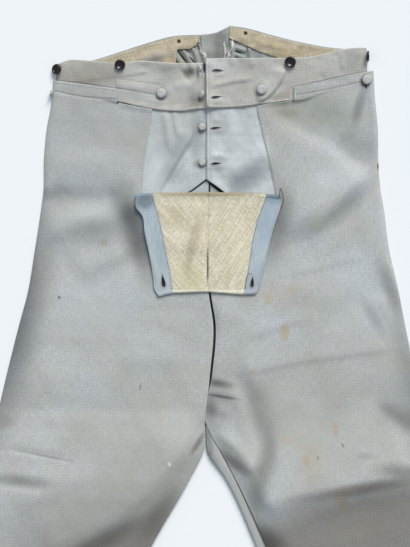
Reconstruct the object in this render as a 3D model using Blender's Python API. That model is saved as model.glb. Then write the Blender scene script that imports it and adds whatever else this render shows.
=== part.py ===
# Narrow-fall trousers of the early nineteenth century, laid flat with the fall open.
# X runs to the right as seen, Y up towards the waist, Z up from the table. The origin
# lies under the middle of the garment. Left and right are as seen from above.
import math
from collections import namedtuple

import bmesh
import bpy
import numpy as np
from mathutils import Vector
from mathutils.bvhtree import BVHTree

# Driving sizes, in millimetres
CLOTH = 1.0  # one wall of cloth, with the turnings and interlining behind it
GAP = 0.3  # air left at seams and between layers
SLACK = 0.12  # more air, for the slope of a wall
PITCH = CLOTH + GAP
LEG_RISE = 4.2  # height of a leg's upper cloth over the table, beside its rolled edge
LEG_PUFF = 0.9  # what the middle of a leg rises more
BACK_INSET = 1.45  # the back panels end this far inside the rolled edge of the fronts
WRAP_RADIUS = 1.6  # the right back panel turns up round the inseam
FALL_ROLL = 2.2  # radius of the fall's fold
FALL_DROP = 34.0  # the folded fall settles over this length
CROSS_SLOT = (14.0, 1.9)  # length and width of a fly buttonhole
LONG_SLOT = (16.0, 2.6)  # length and width of a buttonhole of the fall
SLOT_SIDES = 10
CUT_DEPTH = 60.0
CELL = 2.5  # cell of the grid that holds the height of what is laid so far
HALF_WIDTH = 440.0
HALF_LENGTH = 600.0

# A rolled edge: distance in from the edge, and height of the cloth there
ROLL = ((0.0, 0.5), (0.6, 1.5), (2.2, 2.6), (6.0, 3.5), (14.0, LEG_RISE))
ROLL_IN = tuple(distance for distance, _ in ROLL)
ROLL_UP = tuple(height for _, height in ROLL)

# Leg fronts. A row for each section, from the pocket mouth down to the hem: the outseam,
# the slit that the fall leaves open, the centre seam or inseam, how high that seam lies,
# and the rows of faces down to the next section.
Section = namedtuple("Section", "outer_x outer_y slit_x slit_y seam_x seam_y seam_z rows")
SEATED = CLOTH + GAP + SLACK + CLOTH / 2  # a seam that lies on the back panel
FLOOR = CLOTH / 2
INSEAM = 4.1  # the right inseam lies on top of the leg
LEFT_FRONT = (
    Section(-196.8, 508.3, -68.9, 491.0, 5.2, 470.0, SEATED, 1),
    Section(-198.1, 494.0, -68.9, 480.0, 5.2, 460.0, SEATED, 1),
    Section(-198.6, 484.9, -68.9, 470.0, 5.2, 450.0, SEATED, 2),
    Section(-205.4, 444.6, -73.1, 440.1, 5.2, 430.0, SEATED, 2),
    Section(-208.9, 405.6, -79.2, 405.2, 5.2, 400.0, SEATED, 2),
    Section(-209.6, 364.0, -82.4, 364.0, 5.2, 362.0, SEATED, 1),
    Section(-211.9, 346.3, -83.5, 346.3, 5.2, 346.3, SEATED, 2),
    Section(-220.3, 291.2, -91.0, 291.2, 5.2, 291.2, SEATED, 3),
    Section(-230.1, 232.7, -100.7, 232.7, 5.7, 232.7, SEATED, 2),
    Section(-241.2, 191.1, -106.6, 191.1, 11.7, 191.1, SEATED, 3),
    Section(-257.5, 126.1, -113.1, 126.1, 7.3, 126.1, SEATED, 3),
    Section(-272.0, 65.0, -119.6, 65.0, 0.0, 65.0, SEATED, 1),
    Section(-280.8, 31.6, -125.5, 31.6, -1.2, 31.6, FLOOR, 2),
    Section(-290.6, -3.9, -138.6, -4.5, -18.9, -5.2, FLOOR, 3),
    Section(-316.6, -97.5, -178.3, -97.5, -71.0, -97.5, FLOOR, 7),
    Section(-430.0, -521.3, -322.3, -554.0, -235.3, -579.8, FLOOR, 0),
)
RIGHT_FRONT = (
    Section(218.7, 521.3, 68.2, 489.0, 6.0, 470.0, SEATED, 1),
    Section(219.4, 507.0, 68.0, 481.0, 6.0, 460.0, SEATED, 1),
    Section(220.0, 495.3, 67.9, 473.2, 6.0, 450.0, SEATED, 2),
    Section(224.4, 444.6, 74.4, 443.3, 6.0, 430.0, SEATED, 2),
    Section(224.9, 405.6, 82.8, 408.2, 6.0, 400.0, SEATED, 2),
    Section(228.2, 364.0, 91.3, 364.0, 6.0, 362.0, SEATED, 1),
    Section(231.4, 346.3, 93.3, 346.3, 6.0, 346.3, SEATED, 2),
    Section(238.8, 291.2, 101.4, 291.2, 6.0, 291.2, SEATED, 3),
    Section(251.6, 232.7, 110.5, 232.7, 6.5, 232.7, SEATED, 2),
    Section(259.7, 191.1, 115.7, 191.1, 12.5, 191.1, SEATED, 3),
    Section(273.0, 126.1, 122.2, 126.1, 8.1, 126.1, SEATED, 3),
    Section(285.4, 65.0, 128.7, 65.0, 0.9, 65.0, SEATED, 1),
    Section(288.5, 47.5, 132.5, 46.5, 9.6, 45.9, INSEAM, 1),
    Section(291.9, 31.6, 138.5, 31.6, 18.2, 31.6, INSEAM, 2),
    Section(299.7, -3.9, 150.9, -4.5, 38.2, -5.2, INSEAM, 3),
    Section(317.9, -97.5, 186.7, -97.5, 80.3, -97.5, INSEAM, 7),
    Section(430.0, -521.3, 328.5, -552.5, 247.7, -576.4, INSEAM, 0),
)
BAND_SECTION, JOINT_SECTION = 2, 6
OUTER_SHARES = (0.22, 0.43, 0.648, 0.82, 1.0)  # columns between the outseam and the slit
TAB_SHARE = 0.648  # the pocket mouth ends here
INNER_SHARES = (0.3, 0.6)  # columns between the slit and the seam

# Back panels: the outseam, the centre seam or the leg's inner edge, and where the cloth
# that wraps round the right inner edge ends on top
Back = namedtuple("Back", "outer_x outer_y inner_x inner_y wrap_x wrap_y rows")
LEFT_BACK = (
    Back(-190.4, 492.0, -6.4, 557.6, 0, 0, 1),
    Back(-194.5, 478.0, -2.8, 541.2, 0, 0, 1),
    Back(-198.6, 462.8, -1.4, 516.1, 0, 0, 1),
    Back(-203.8, 443.6, 3.2, 487.5, 0, 0, 2),
    Back(-208.9, 405.6, 5.2, 430.0, 0, 0, 2),
    Back(-209.6, 364.0, 5.2, 374.0, 0, 0, 1),
    Back(-211.9, 346.3, 5.2, 350.0, 0, 0, 2),
    Back(-220.3, 291.2, 5.2, 291.2, 0, 0, 3),
    Back(-230.1, 232.7, 5.7, 232.7, 0, 0, 2),
    Back(-241.2, 191.1, 11.7, 191.1, 0, 0, 3),
    Back(-257.5, 126.1, 7.3, 126.1, 0, 0, 3),
    Back(-272.0, 65.0, 0.0, 65.0, 0, 0, 1),
    Back(-280.8, 31.6, -2.6, 31.6, 0, 0, 2),
    Back(-290.6, -3.9, -20.5, -5.2, 0, 0, 3),
    Back(-316.6, -97.5, -72.6, -97.5, 0, 0, 7),
    Back(-430.0, -521.3, -236.9, -579.8, 0, 0, 0),
)
RIGHT_BACK = (
    Back(210.9, 500.0, 28.9, 569.6, 0, 0, 1),
    Back(213.5, 486.0, 21.3, 541.8, 0, 0, 1),
    Back(219.4, 472.0, 16.0, 518.0, 0, 0, 1),
    Back(222.8, 454.0, 9.0, 487.5, 0, 0, 2),
    Back(224.9, 405.6, 6.0, 430.0, 0, 0, 2),
    Back(228.2, 364.0, 6.0, 374.0, 0, 0, 1),
    Back(231.4, 346.3, 6.0, 350.0, 0, 0, 2),
    Back(238.8, 291.2, 6.0, 291.2, 0, 0, 3),
    Back(251.6, 232.7, 6.5, 232.7, 0, 0, 2),
    Back(259.7, 191.1, 12.5, 191.1, 0, 0, 3),
    Back(273.0, 126.1, 8.1, 126.1, 8.1, 100.0, 3),
    Back(285.4, 65.0, 1.2, 65.0, 7.0, 65.0, 1),
    Back(288.5, 47.5, 1.7, 45.5, 8.9, 45.9, 1),
    Back(291.9, 31.6, 2.6, 28.6, 17.4, 31.6, 2),
    Back(299.7, -3.9, 24.7, -4.5, 37.4, -5.2, 3),
    Back(317.9, -97.5, 67.5, -97.5, 79.6, -97.5, 7),
    Back(430.0, -521.3, 235.3, -579.8, 247.0, -576.4, 0),
)
WRAP_SECTION = 12
SEAT_SECTION = 3  # from here down the back follows the front's outseam
BACK_SHARES = (0.0, 0.25, 0.5, 0.7, 0.84, 0.89, 0.93, 0.97, 1.0)
WRAP_TURN = (45.0, 90.0, 135.0, 180.0)

# Waistbands, linings, gusset and bearers: a row for each column of the piece
Column = namedtuple("Column", "top_x top_y low_x low_y")
LEFT_BAND = (
    Column(-192.6, 528.6, -193.2, 493.0),
    Column(-176.0, 534.8, -177.0, 490.0),
    Column(-160.0, 534.5, -161.0, 488.0),
    Column(-137.0, 532.4, -137.0, 486.0),
    Column(-110.0, 531.3, -109.0, 480.6),
    Column(-79.0, 533.0, -86.0, 474.9),
    Column(-52.0, 531.2, -55.0, 469.8),
    Column(-24.0, 530.0, -26.0, 469.2),
    Column(-5.0, 530.4, -5.0, 472.0),
    Column(10.0, 530.2, 10.0, 472.4),
)
RIGHT_BAND = (
    Column(1.0, 536.1, 2.2, 472.4),
    Column(22.0, 537.0, 24.0, 473.2),
    Column(48.0, 536.8, 49.0, 474.6),
    Column(80.0, 537.3, 76.0, 478.4),
    Column(108.0, 537.0, 109.0, 482.3),
    Column(140.0, 539.5, 134.0, 487.0),
    Column(164.0, 545.0, 160.0, 495.0),
    Column(186.0, 549.5, 186.0, 501.0),
    Column(209.6, 550.7, 210.6, 505.5),
)
BAND_SHARES = (0.0, 0.22, 0.5, 0.8, 1.0)
LEFT_BACK_BAND = (
    Column(-191.0, 530.0, -190.5, 492.9),
    Column(-151.1, 533.4, -151.0, 506.8),
    Column(-115.7, 543.9, -115.0, 519.7),
    Column(-80.6, 555.2, -80.0, 532.2),
    Column(-38.4, 566.4, -38.0, 547.2),
    Column(-6.4, 567.8, -6.4, 558.4),
)
RIGHT_BACK_BAND = (
    Column(32.2, 579.5, 29.2, 570.4),
    Column(53.3, 576.6, 53.0, 561.2),
    Column(81.8, 568.8, 81.0, 550.4),
    Column(119.5, 559.3, 119.0, 535.8),
    Column(151.1, 552.9, 151.0, 523.8),
    Column(207.4, 547.2, 208.4, 501.8),
)
LEFT_LINING = (
    Column(-186.0, 528.0, -184.0, 506.0),
    Column(-151.1, 530.4, -151.0, 510.0),
    Column(-115.7, 541.8, -115.0, 514.0),
    Column(-80.6, 553.2, -80.0, 520.0),
    Column(-38.9, 564.4, -38.5, 526.0),
    Column(-36.4, 564.9, -36.0, 549.0),
    Column(-7.2, 566.0, -9.0, 555.2),
)
RIGHT_LINING = (
    Column(33.0, 577.6, 31.2, 563.8),
    Column(53.3, 574.6, 54.0, 553.8),
    Column(81.8, 566.8, 72.0, 545.6),
    Column(119.5, 557.3, 96.0, 537.4),
    Column(151.1, 550.9, 151.0, 517.0),
    Column(203.0, 545.4, 203.0, 508.0),
)
GUSSET = (
    Column(-5.6, 567.6, 4.0, 488.0),
    Column(4.0, 568.8, 5.2, 484.0),
    Column(15.0, 570.6, 6.8, 484.0),
    Column(28.4, 577.2, 8.4, 488.0),
)
LEFT_BEARER = (
    Column(-92.0, 478.0, -96.0, 354.0),
    Column(-66.0, 477.6, -68.0, 354.0),
    Column(-40.0, 477.6, -40.0, 354.0),
    Column(-22.0, 477.6, -21.0, 364.4),
    Column(-4.0, 478.0, -2.0, 378.4),
    Column(10.4, 478.0, 10.4, 388.0),
)
RIGHT_BEARER = (
    Column(2.3, 480.6, 2.2, 380.4),
    Column(14.0, 481.0, 15.0, 371.6),
    Column(28.0, 481.6, 29.0, 361.0),
    Column(46.0, 483.0, 44.0, 354.0),
    Column(70.0, 485.0, 76.0, 354.0),
    Column(84.0, 486.0, 108.0, 354.0),
)
BEARER_SHARES = (0.0, 0.2, 0.4, 0.6, 0.8, 1.0)

# The fall, folded down over the legs: a row for each section below its fold
Fall = namedtuple("Fall", "y left_x left_facing_x centre_x right_facing_x right_x rows")
FALL = (
    Fall(359.5, -88.8, -67.9, 3.5, 79.3, 98.4, 2),
    Fall(337.5, -84.6, -60.0, 3.5, 72.0, 95.0, 3),
    Fall(297.0, -77.0, -53.0, 3.5, 64.6, 85.8, 3),
    Fall(266.0, -68.8, -47.5, 3.5, 58.4, 76.7, 2),
    Fall(240.0, -65.3, -43.0, 3.5, 52.5, 71.0, 1),
    Fall(233.0, -56.0, -41.7, 3.5, 48.8, 66.5, 0),
)
FALL_START = 347.1  # the under part is joined to the leg fronts here
FALL_START_HEIGHT = 5.6
FALL_RISEN = 350.4
FALL_WIDE = 356.0
FALL_BASE = (-82.6, 92.4)  # its two ends there
FALL_TURN = (30.0, 60.0, 90.0, 120.0, 150.0, 180.0)

# Largest folds: from one end to the other, how wide, and how far up or down
Fold = namedtuple("Fold", "piece from_x from_y to_x to_y width height")
FOLDS = (
    Fold("front_left", -205.0, 372.0, -124.0, 362.0, 15.0, -1.4),
    Fold("front_left", -180.0, 306.0, -105.0, 334.0, 15.0, -1.5),
    Fold("front_left", -215.0, 330.0, -120.0, 296.0, 16.0, 1.2),
    Fold("front_left", -102.0, 112.0, -50.0, 152.0, 15.0, -1.5),
    Fold("front_left", -262.0, 32.0, -184.0, 20.0, 7.0, -1.6),
    Fold("front_left", -268.0, 10.0, -204.0, -20.0, 14.0, 1.9),
    Fold("front_left", -196.0, -94.0, -20.0, 26.0, 30.0, 4.6),
    Fold("front_left", -166.0, -118.0, -84.0, -72.0, 18.0, -1.8),
    Fold("front_left", -130.0, 60.0, -92.0, -40.0, 24.0, 1.8),
    Fold("front_left", -330.0, -190.0, -200.0, -150.0, 22.0, -1.6),
    Fold("front_left", -360.0, -300.0, -240.0, -330.0, 26.0, 1.6),
    Fold("front_left", -390.0, -420.0, -290.0, -400.0, 22.0, -1.5),
    Fold("front_right", 94.0, 476.0, 168.0, 430.0, 16.0, 1.4),
    Fold("front_right", 200.0, 470.0, 192.0, 410.0, 12.0, -1.7),
    Fold("front_right", 138.0, 314.0, 196.0, 350.0, 15.0, -1.6),
    Fold("front_right", 212.0, 240.0, 250.0, 190.0, 16.0, -1.6),
    Fold("front_right", 112.0, 248.0, 208.0, 276.0, 8.0, 1.0),
    Fold("front_right", 30.0, 122.0, 258.0, 162.0, 9.0, -1.1),
    Fold("front_right", 62.0, 112.0, 80.0, 6.0, 13.0, -1.9),
    Fold("front_right", 52.0, -38.0, 190.0, -14.0, 26.0, 4.4),
    Fold("front_right", 166.0, -14.0, 300.0, 16.0, 28.0, 4.6),
    Fold("front_right", 100.0, -92.0, 300.0, -62.0, 22.0, -1.7),
    Fold("front_right", 200.0, -190.0, 340.0, -150.0, 22.0, -1.6),
    Fold("front_right", 240.0, -330.0, 370.0, -300.0, 26.0, 1.6),
    Fold("front_right", 290.0, -400.0, 395.0, -430.0, 22.0, -1.5),
    Fold("bearer_left", -10.0, 440.0, -50.0, 376.0, 12.0, 1.6),
    Fold("bearer_right", 30.0, 396.0, 70.0, 362.0, 16.0, 1.3),
    Fold("waistband_front_right", 106.0, 522.0, 66.0, 484.0, 10.0, 2.0),
    Fold("back_left", -34.0, 552.0, -14.0, 522.0, 5.0, 2.2),
    Fold("back_left", -18.0, 556.0, -6.0, 520.0, 4.0, 2.6),
    Fold("back_right", 36.0, 562.0, 40.0, 522.0, 5.0, 2.4),
    Fold("back_right", 52.0, 552.0, 54.0, 520.0, 5.0, 2.0),
    Fold("waistband_lining_left", -78.0, 534.0, -40.0, 536.0, 7.0, 1.4),
    Fold("fall", -8.0, 336.0, -22.0, 248.0, 9.0, 1.5),
)

# Buttons: the piece that carries each, where it lies, how wide and high it is, and how far
# it tilts and to what side, where it hangs over a rolled edge
Button = namedtuple("Button", "node style seat x y z width height tilt toward")
BUTTONS = (
    Button("button_fly_1", "covered", "waistband_front_left", -5.6, 524.4, 0, 9.6, 3.2, 0, 0),
    Button("button_fly_2", "covered", "waistband_front_left", -3.8, 490.8, 0, 9.6, 3.2, 0, 0),
    Button("button_fly_3", "covered", "bearer_left", -3.6, 448.1, 0, 9.6, 3.2, 0, 0),
    Button("button_fly_4", "covered", "bearer_left", -3.6, 402.0, 0, 9.2, 3.2, 0, 0),
    Button("button_fall_left", "covered", "waistband_front_left", -56.6, 491.7, 0, 12.4, 3.6, 0, 0),
    Button("button_fall_right", "covered", "waistband_front_right", 73.5, 496.1, 0, 12.4, 3.6, 0, 0),
    Button("button_pocket_left", "covered", "front_left", -198.6, 491.8, 5.2, 9.6, 3.2, 84, 180),
    Button("button_pocket_right", "covered", "front_right", 209.6, 508.8, 0, 12.0, 3.4, 0, 0),
    Button("button_brace_1", "dished", "waistband_front_left", -191.4, 522.6, 3.6, 13.8, 4.0, 26, 175),
    Button("button_brace_2", "dished", "waistband_front_left", -110.2, 528.4, 0, 13.8, 4.0, 0, 0),
    Button("button_brace_3", "dished", "waistband_front_right", 110.5, 532.0, 0, 14.6, 4.0, 0, 0),
    Button("button_brace_4", "dished", "waistband_front_right", 209.0, 539.4, 7.3, 13.8, 3.4, 86, 0),
)
BUTTON_DROP = 0.03  # a button starts this far out along its axis, in metres
BUTTON_SIDES = 16
# Profiles of a button: share of its radius, share of its height
COVERED = ((0.55, 0.0), (0.94, 0.22), (1.0, 0.48), (0.82, 0.82), (0.45, 1.0))
DISHED = ((0.55, 0.0), (0.95, 0.3), (1.0, 0.62), (0.86, 1.0), (0.55, 0.62), (0.25, 0.72))

# Buttonholes: the pieces they go through, the middle, the turn from the X axis, the slot
Slot = namedtuple("Slot", "pieces x y turn size")
SLOTS = (
    Slot(("waistband_front_right",), 16.9, 521.4, 0, CROSS_SLOT),
    Slot(("waistband_front_right",), 15.2, 486.7, 9, CROSS_SLOT),
    Slot(("bearer_right",), 14.4, 446.8, 8, CROSS_SLOT),
    Slot(("bearer_right",), 15.0, 400.7, 8, CROSS_SLOT),
    Slot(("fall", "fall_facing_left"), -54.3, 248.6, 98, LONG_SLOT),
    Slot(("fall", "fall_facing_right"), 61.0, 247.4, 84, LONG_SLOT),
)

# Colour, roughness and metallic value of each material
MATERIALS = {
    "silk_front": ((0.42, 0.46, 0.48, 1.0), 0.55, 0.0),
    "silk_back": ((0.38, 0.41, 0.43, 1.0), 0.6, 0.0),
    "silk_band": ((0.43, 0.44, 0.43, 1.0), 0.55, 0.0),
    "silk_bearer": ((0.46, 0.51, 0.54, 1.0), 0.5, 0.0),
    "linen": ((0.60, 0.55, 0.38, 1.0), 0.9, 0.0),
    "linen_band": ((0.46, 0.40, 0.29, 1.0), 0.9, 0.0),
    "facing": ((0.36, 0.45, 0.53, 1.0), 0.6, 0.0),
    "covered_button": ((0.50, 0.52, 0.53, 1.0), 0.6, 0.0),
    "horn": ((0.012, 0.011, 0.010, 1.0), 0.3, 0.0),
}


class Pile:
    # The height of what has been laid down so far, on a fine grid

    def __init__(self):
        self.cells = np.zeros((int(2 * HALF_WIDTH / CELL), int(2 * HALF_LENGTH / CELL)))

    def place(self, x, y):
        last_x, last_y = np.array(self.cells.shape) - 2
        column = np.clip(((x + HALF_WIDTH) / CELL).astype(int), 1, last_x)
        row = np.clip(((y + HALF_LENGTH) / CELL).astype(int), 1, last_y)
        return column, row

    def lay(self, top, keep):
        for i, j in zip(*np.nonzero(keep)):
            corners = top[i : i + 2, j : j + 2]
            inside = between_corners(corners)
            np.maximum.at(self.cells, self.place(inside[:, 0], inside[:, 1]), inside[:, 2])

    def height(self, x, y):
        column, row = self.place(np.asarray(x, float), np.asarray(y, float))
        around = [
            self.cells[column + i, row + j] for i in (-1, 0, 1) for j in (-1, 0, 1)
        ]
        return np.max(around, axis=0)


def between_corners(corners, count=12):
    # Points spread evenly over the face between four corners
    share = np.linspace(0.0, 1.0, count)
    down, across = np.meshgrid(share, share, indexing="ij")
    weight = np.stack(
        ((1 - down) * (1 - across), (1 - down) * across, down * (1 - across), down * across)
    )
    return np.einsum("kab,kc->abc", weight, corners.reshape(4, -1)).reshape(-1, 3)


def smooth_rows(table, names):
    # Rows between the sections of a table, on a smooth curve through them
    knots = np.array([[getattr(row, name) for name in names] for row in table], float)
    place = np.append(0.0, np.cumsum(np.linalg.norm(np.diff(knots[:, :2], axis=0), axis=1)))
    step = np.diff(place)[:, None]
    slope = np.diff(knots, axis=0) / step
    tangent = np.vstack((slope[:1], slope[1:] * step[:-1] + slope[:-1] * step[1:], slope[-1:]))
    tangent[1:-1] /= step[:-1] + step[1:]
    rows = []
    for i, row in enumerate(table[:-1]):
        for k in range(row.rows):
            t = k / row.rows
            rows.append(
                (2 * t**3 - 3 * t**2 + 1) * knots[i]
                + (t**3 - 2 * t**2 + t) * step[i] * tangent[i]
                + (3 * t**2 - 2 * t**3) * knots[i + 1]
                + (t**3 - t**2) * step[i] * tangent[i + 1]
            )
    rows.append(knots[-1])
    return np.array(rows)


def row_of(table, section):
    return sum(row.rows for row in table[:section])


def fold_height(piece, x, y):
    # The sum of the piece's folds: a soft ridge or trough that fades at both ends
    total = np.zeros_like(x)
    for fold in FOLDS:
        if fold.piece != piece:
            continue
        run = np.array((fold.to_x - fold.from_x, fold.to_y - fold.from_y))
        length = np.linalg.norm(run)
        run = run / length
        along = ((x - fold.from_x) * run[0] + (y - fold.from_y) * run[1]) / length
        aside = -(x - fold.from_x) * run[1] + (y - fold.from_y) * run[0]
        fade = np.clip(np.minimum(along, 1.0 - along) / 0.22 + 0.5, 0.0, 1.0)
        total += fold.height * np.exp(-((aside / fold.width) ** 2)) * fade
    return total


def needed(pile, plan, keep):
    # How high the middle of the wall must lie at each point to clear what is below
    need = np.zeros(plan.shape[:2])
    for i, j in zip(*np.nonzero(keep)):
        corners = np.dstack((plan[i : i + 2, j : j + 2], np.zeros((2, 2))))
        inside = between_corners(corners)
        highest = pile.height(inside[:, 0], inside[:, 1]).max()
        need[i : i + 2, j : j + 2] = np.maximum(need[i : i + 2, j : j + 2], highest)
    return np.where(need > 0, need + GAP + SLACK, 0.0) + CLOTH / 2


def normals_of(points):
    down = np.gradient(points, axis=0)
    across = np.gradient(points, axis=1)
    normal = np.cross(down, across)
    normal /= np.linalg.norm(normal, axis=2, keepdims=True) + 1e-12
    return normal if normal[-1, :, 2].sum() > 0 else -normal


def new_object(name, mesh_builder, material):
    mesh = bpy.data.meshes.new(name)
    mesh_builder.to_mesh(mesh)
    mesh_builder.free()
    mesh.materials.append(bpy.data.materials[material])
    made = bpy.data.objects.new(name, mesh)
    bpy.context.scene.collection.objects.link(made)
    return made


def wall(name, points, material, keep=None, pile=None):
    # A closed wall of cloth on both sides of a sheet of points
    if keep is None:
        keep = np.ones((points.shape[0] - 1, points.shape[1] - 1), bool)
    offset = normals_of(points) * CLOTH / 2
    build = bmesh.new()
    corners = {}
    for i, j in zip(*np.nonzero(keep)):
        for a, b in ((i, j), (i + 1, j), (i + 1, j + 1), (i, j + 1)):
            if (a, b) not in corners:
                upper = build.verts.new((points[a, b] + offset[a, b]) * 0.001)
                lower = build.verts.new((points[a, b] - offset[a, b]) * 0.001)
                corners[a, b] = (upper, lower)
    edges = {}
    for i, j in zip(*np.nonzero(keep)):
        ring = ((i, j), (i + 1, j), (i + 1, j + 1), (i, j + 1))
        build.faces.new([corners[at][0] for at in ring])
        build.faces.new([corners[at][1] for at in reversed(ring)])
        for start, end in zip(ring, ring[1:] + ring[:1]):
            if (end, start) in edges:
                del edges[end, start]
            else:
                edges[start, end] = True
    for start, end in edges:
        build.faces.new(
            (corners[end][0], corners[start][0], corners[start][1], corners[end][1])
        )
    bmesh.ops.recalc_face_normals(build, faces=build.faces)
    bmesh.ops.triangulate(build, faces=build.faces)
    made = new_object(name, build, material)
    made.data.shade_smooth()
    made.data.set_sharp_from_angle(angle=math.radians(50))
    if pile is not None:
        pile.lay(points + offset, keep)
    return made


def roll_height(distance, edge_height):
    share = np.interp(distance, ROLL_IN, ROLL_UP)
    share = (share - ROLL_UP[0]) / (LEG_RISE - ROLL_UP[0])
    return edge_height + (LEG_RISE - edge_height) * share


def leg_front(name, table, pile):
    # One leg front, with its pocket mouth, its slit and its rolled edges
    rows = smooth_rows(table, Section._fields[:7])
    outer, slit, seam, seam_z = rows[:, 0:2], rows[:, 2:4], rows[:, 4:6], rows[:, 6]
    outer_width = np.linalg.norm(slit - outer, axis=1)
    inner_width = np.linalg.norm(seam - slit, axis=1)
    plan, from_outer, from_seam = [], [], []
    for distance in ROLL_IN:
        share = distance / outer_width
        plan.append(outer + (slit - outer) * share[:, None])
        from_outer.append(share * outer_width)
        from_seam.append((1 - share) * outer_width + inner_width)
    for share in OUTER_SHARES:
        plan.append(outer + (slit - outer) * share)
        from_outer.append(share * outer_width)
        from_seam.append((1 - share) * outer_width + inner_width)
    for share in INNER_SHARES:
        plan.append(slit + (seam - slit) * share)
        from_outer.append(outer_width + share * inner_width)
        from_seam.append((1 - share) * inner_width)
    for distance in reversed(ROLL_IN):
        share = 1 - distance / inner_width
        plan.append(slit + (seam - slit) * share[:, None])
        from_outer.append(outer_width + share * inner_width)
        from_seam.append(distance + 0 * inner_width)
    plan = np.stack(plan, axis=1)
    from_outer, from_seam = np.stack(from_outer, axis=1), np.stack(from_seam, axis=1)

    band_row, joint_row = row_of(table, BAND_SECTION), row_of(table, JOINT_SECTION)
    tab_column = len(ROLL_IN) + OUTER_SHARES.index(TAB_SHARE)
    slit_column = len(ROLL_IN) + len(OUTER_SHARES) - 1
    keep = np.ones((plan.shape[0] - 1, plan.shape[1] - 1), bool)
    keep[:joint_row, slit_column:] = False
    keep[:band_row, tab_column:] = False

    height = np.minimum(
        roll_height(from_outer, ROLL_UP[0]), roll_height(from_seam, seam_z[:, None])
    )
    inside = np.minimum(from_outer, from_seam)
    height += LEG_PUFF * (1 - np.exp(-np.maximum(inside - 6, 0) / 40))
    height += fold_height(name, plan[..., 0], plan[..., 1]) * (inside > 5)
    on_floor = (from_outer < 2.0) | ((from_seam < 2.0) & (seam_z[:, None] < 1.0))
    height = np.where(on_floor, height, np.maximum(height, needed(pile, plan, keep)))
    return wall(name, np.dstack((plan, height)), "silk_front", keep, pile)


def leg_back(name, table, front_table, pile, wrapped):
    # One back panel with its seat, flat on the table, just inside the front's outseam
    rows = smooth_rows(table, Back._fields[:6])
    outer, inner, wrap = rows[:, 0:2], rows[:, 2:4], rows[:, 4:6]
    outseam = smooth_rows(front_table, Section._fields[:2])
    low = row_of(table, SEAT_SECTION)
    outer[low:, 0] = np.interp(-outer[low:, 1], -outseam[:, 1], outseam[:, 0])
    across = inner - outer
    width = np.linalg.norm(across, axis=1, keepdims=True)
    across = across / width
    start = outer + across * BACK_INSET
    end = inner - across * (WRAP_RADIUS if wrapped else 0.0)
    plan = [start + (end - start) * share for share in BACK_SHARES]
    height = [np.full(len(rows), FLOOR) for _ in BACK_SHARES]
    if wrapped:
        for angle in (math.radians(turn) for turn in WRAP_TURN):
            plan.append(end + across * WRAP_RADIUS * math.sin(angle))
            height.append(np.full(len(rows), FLOOR + WRAP_RADIUS * (1 - math.cos(angle))))
        plan += [(end + wrap) / 2, wrap]
        height += [height[-1] + (INSEAM - height[-1]) * share for share in (0.5, 1.0)]
    plan, height = np.stack(plan, axis=1), np.stack(height, axis=1)
    height += fold_height(name, plan[..., 0], plan[..., 1])
    keep = np.ones((plan.shape[0] - 1, plan.shape[1] - 1), bool)
    keep[: row_of(table, WRAP_SECTION), len(BACK_SHARES) - 1 :] = False
    return wall(name, np.dstack((plan, height)), "silk_back", keep, pile)


def strip(name, columns, shares, material, pile, rolled_end=None, rise=0.0):
    # A piece between an upper and a lower edge, which lies on what is under it. One end
    # can roll down to the table, past the pieces below.
    upper = np.array([(column.top_x, column.top_y) for column in columns])
    lower = np.array([(column.low_x, column.low_y) for column in columns])
    from_end = np.full(len(columns), 1e3)
    if rolled_end is not None:
        if rolled_end == "last":
            upper, lower = upper[::-1], lower[::-1]
        added = (np.array(ROLL_IN) / np.linalg.norm(upper[1] - upper[0]))[:, None]
        upper = np.vstack((upper[0] + (upper[1] - upper[0]) * added, upper[1:]))
        lower = np.vstack((lower[0] + (lower[1] - lower[0]) * added, lower[1:]))
        from_end = np.append(ROLL_IN, np.full(len(columns) - 1, 1e3))
    plan = np.stack([upper + (lower - upper) * share for share in shares])
    keep = np.ones((plan.shape[0] - 1, plan.shape[1] - 1), bool)
    need = needed(pile, plan, keep)
    height = need + rise + np.maximum(fold_height(name, plan[..., 0], plan[..., 1]), 0.0)
    rolled = np.interp(from_end, ROLL_IN, ROLL_UP)[None, :]
    height = np.where(from_end[None, :] < 2.0, rolled, height)
    return wall(name, np.dstack((plan, height)), material, keep, pile)


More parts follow.
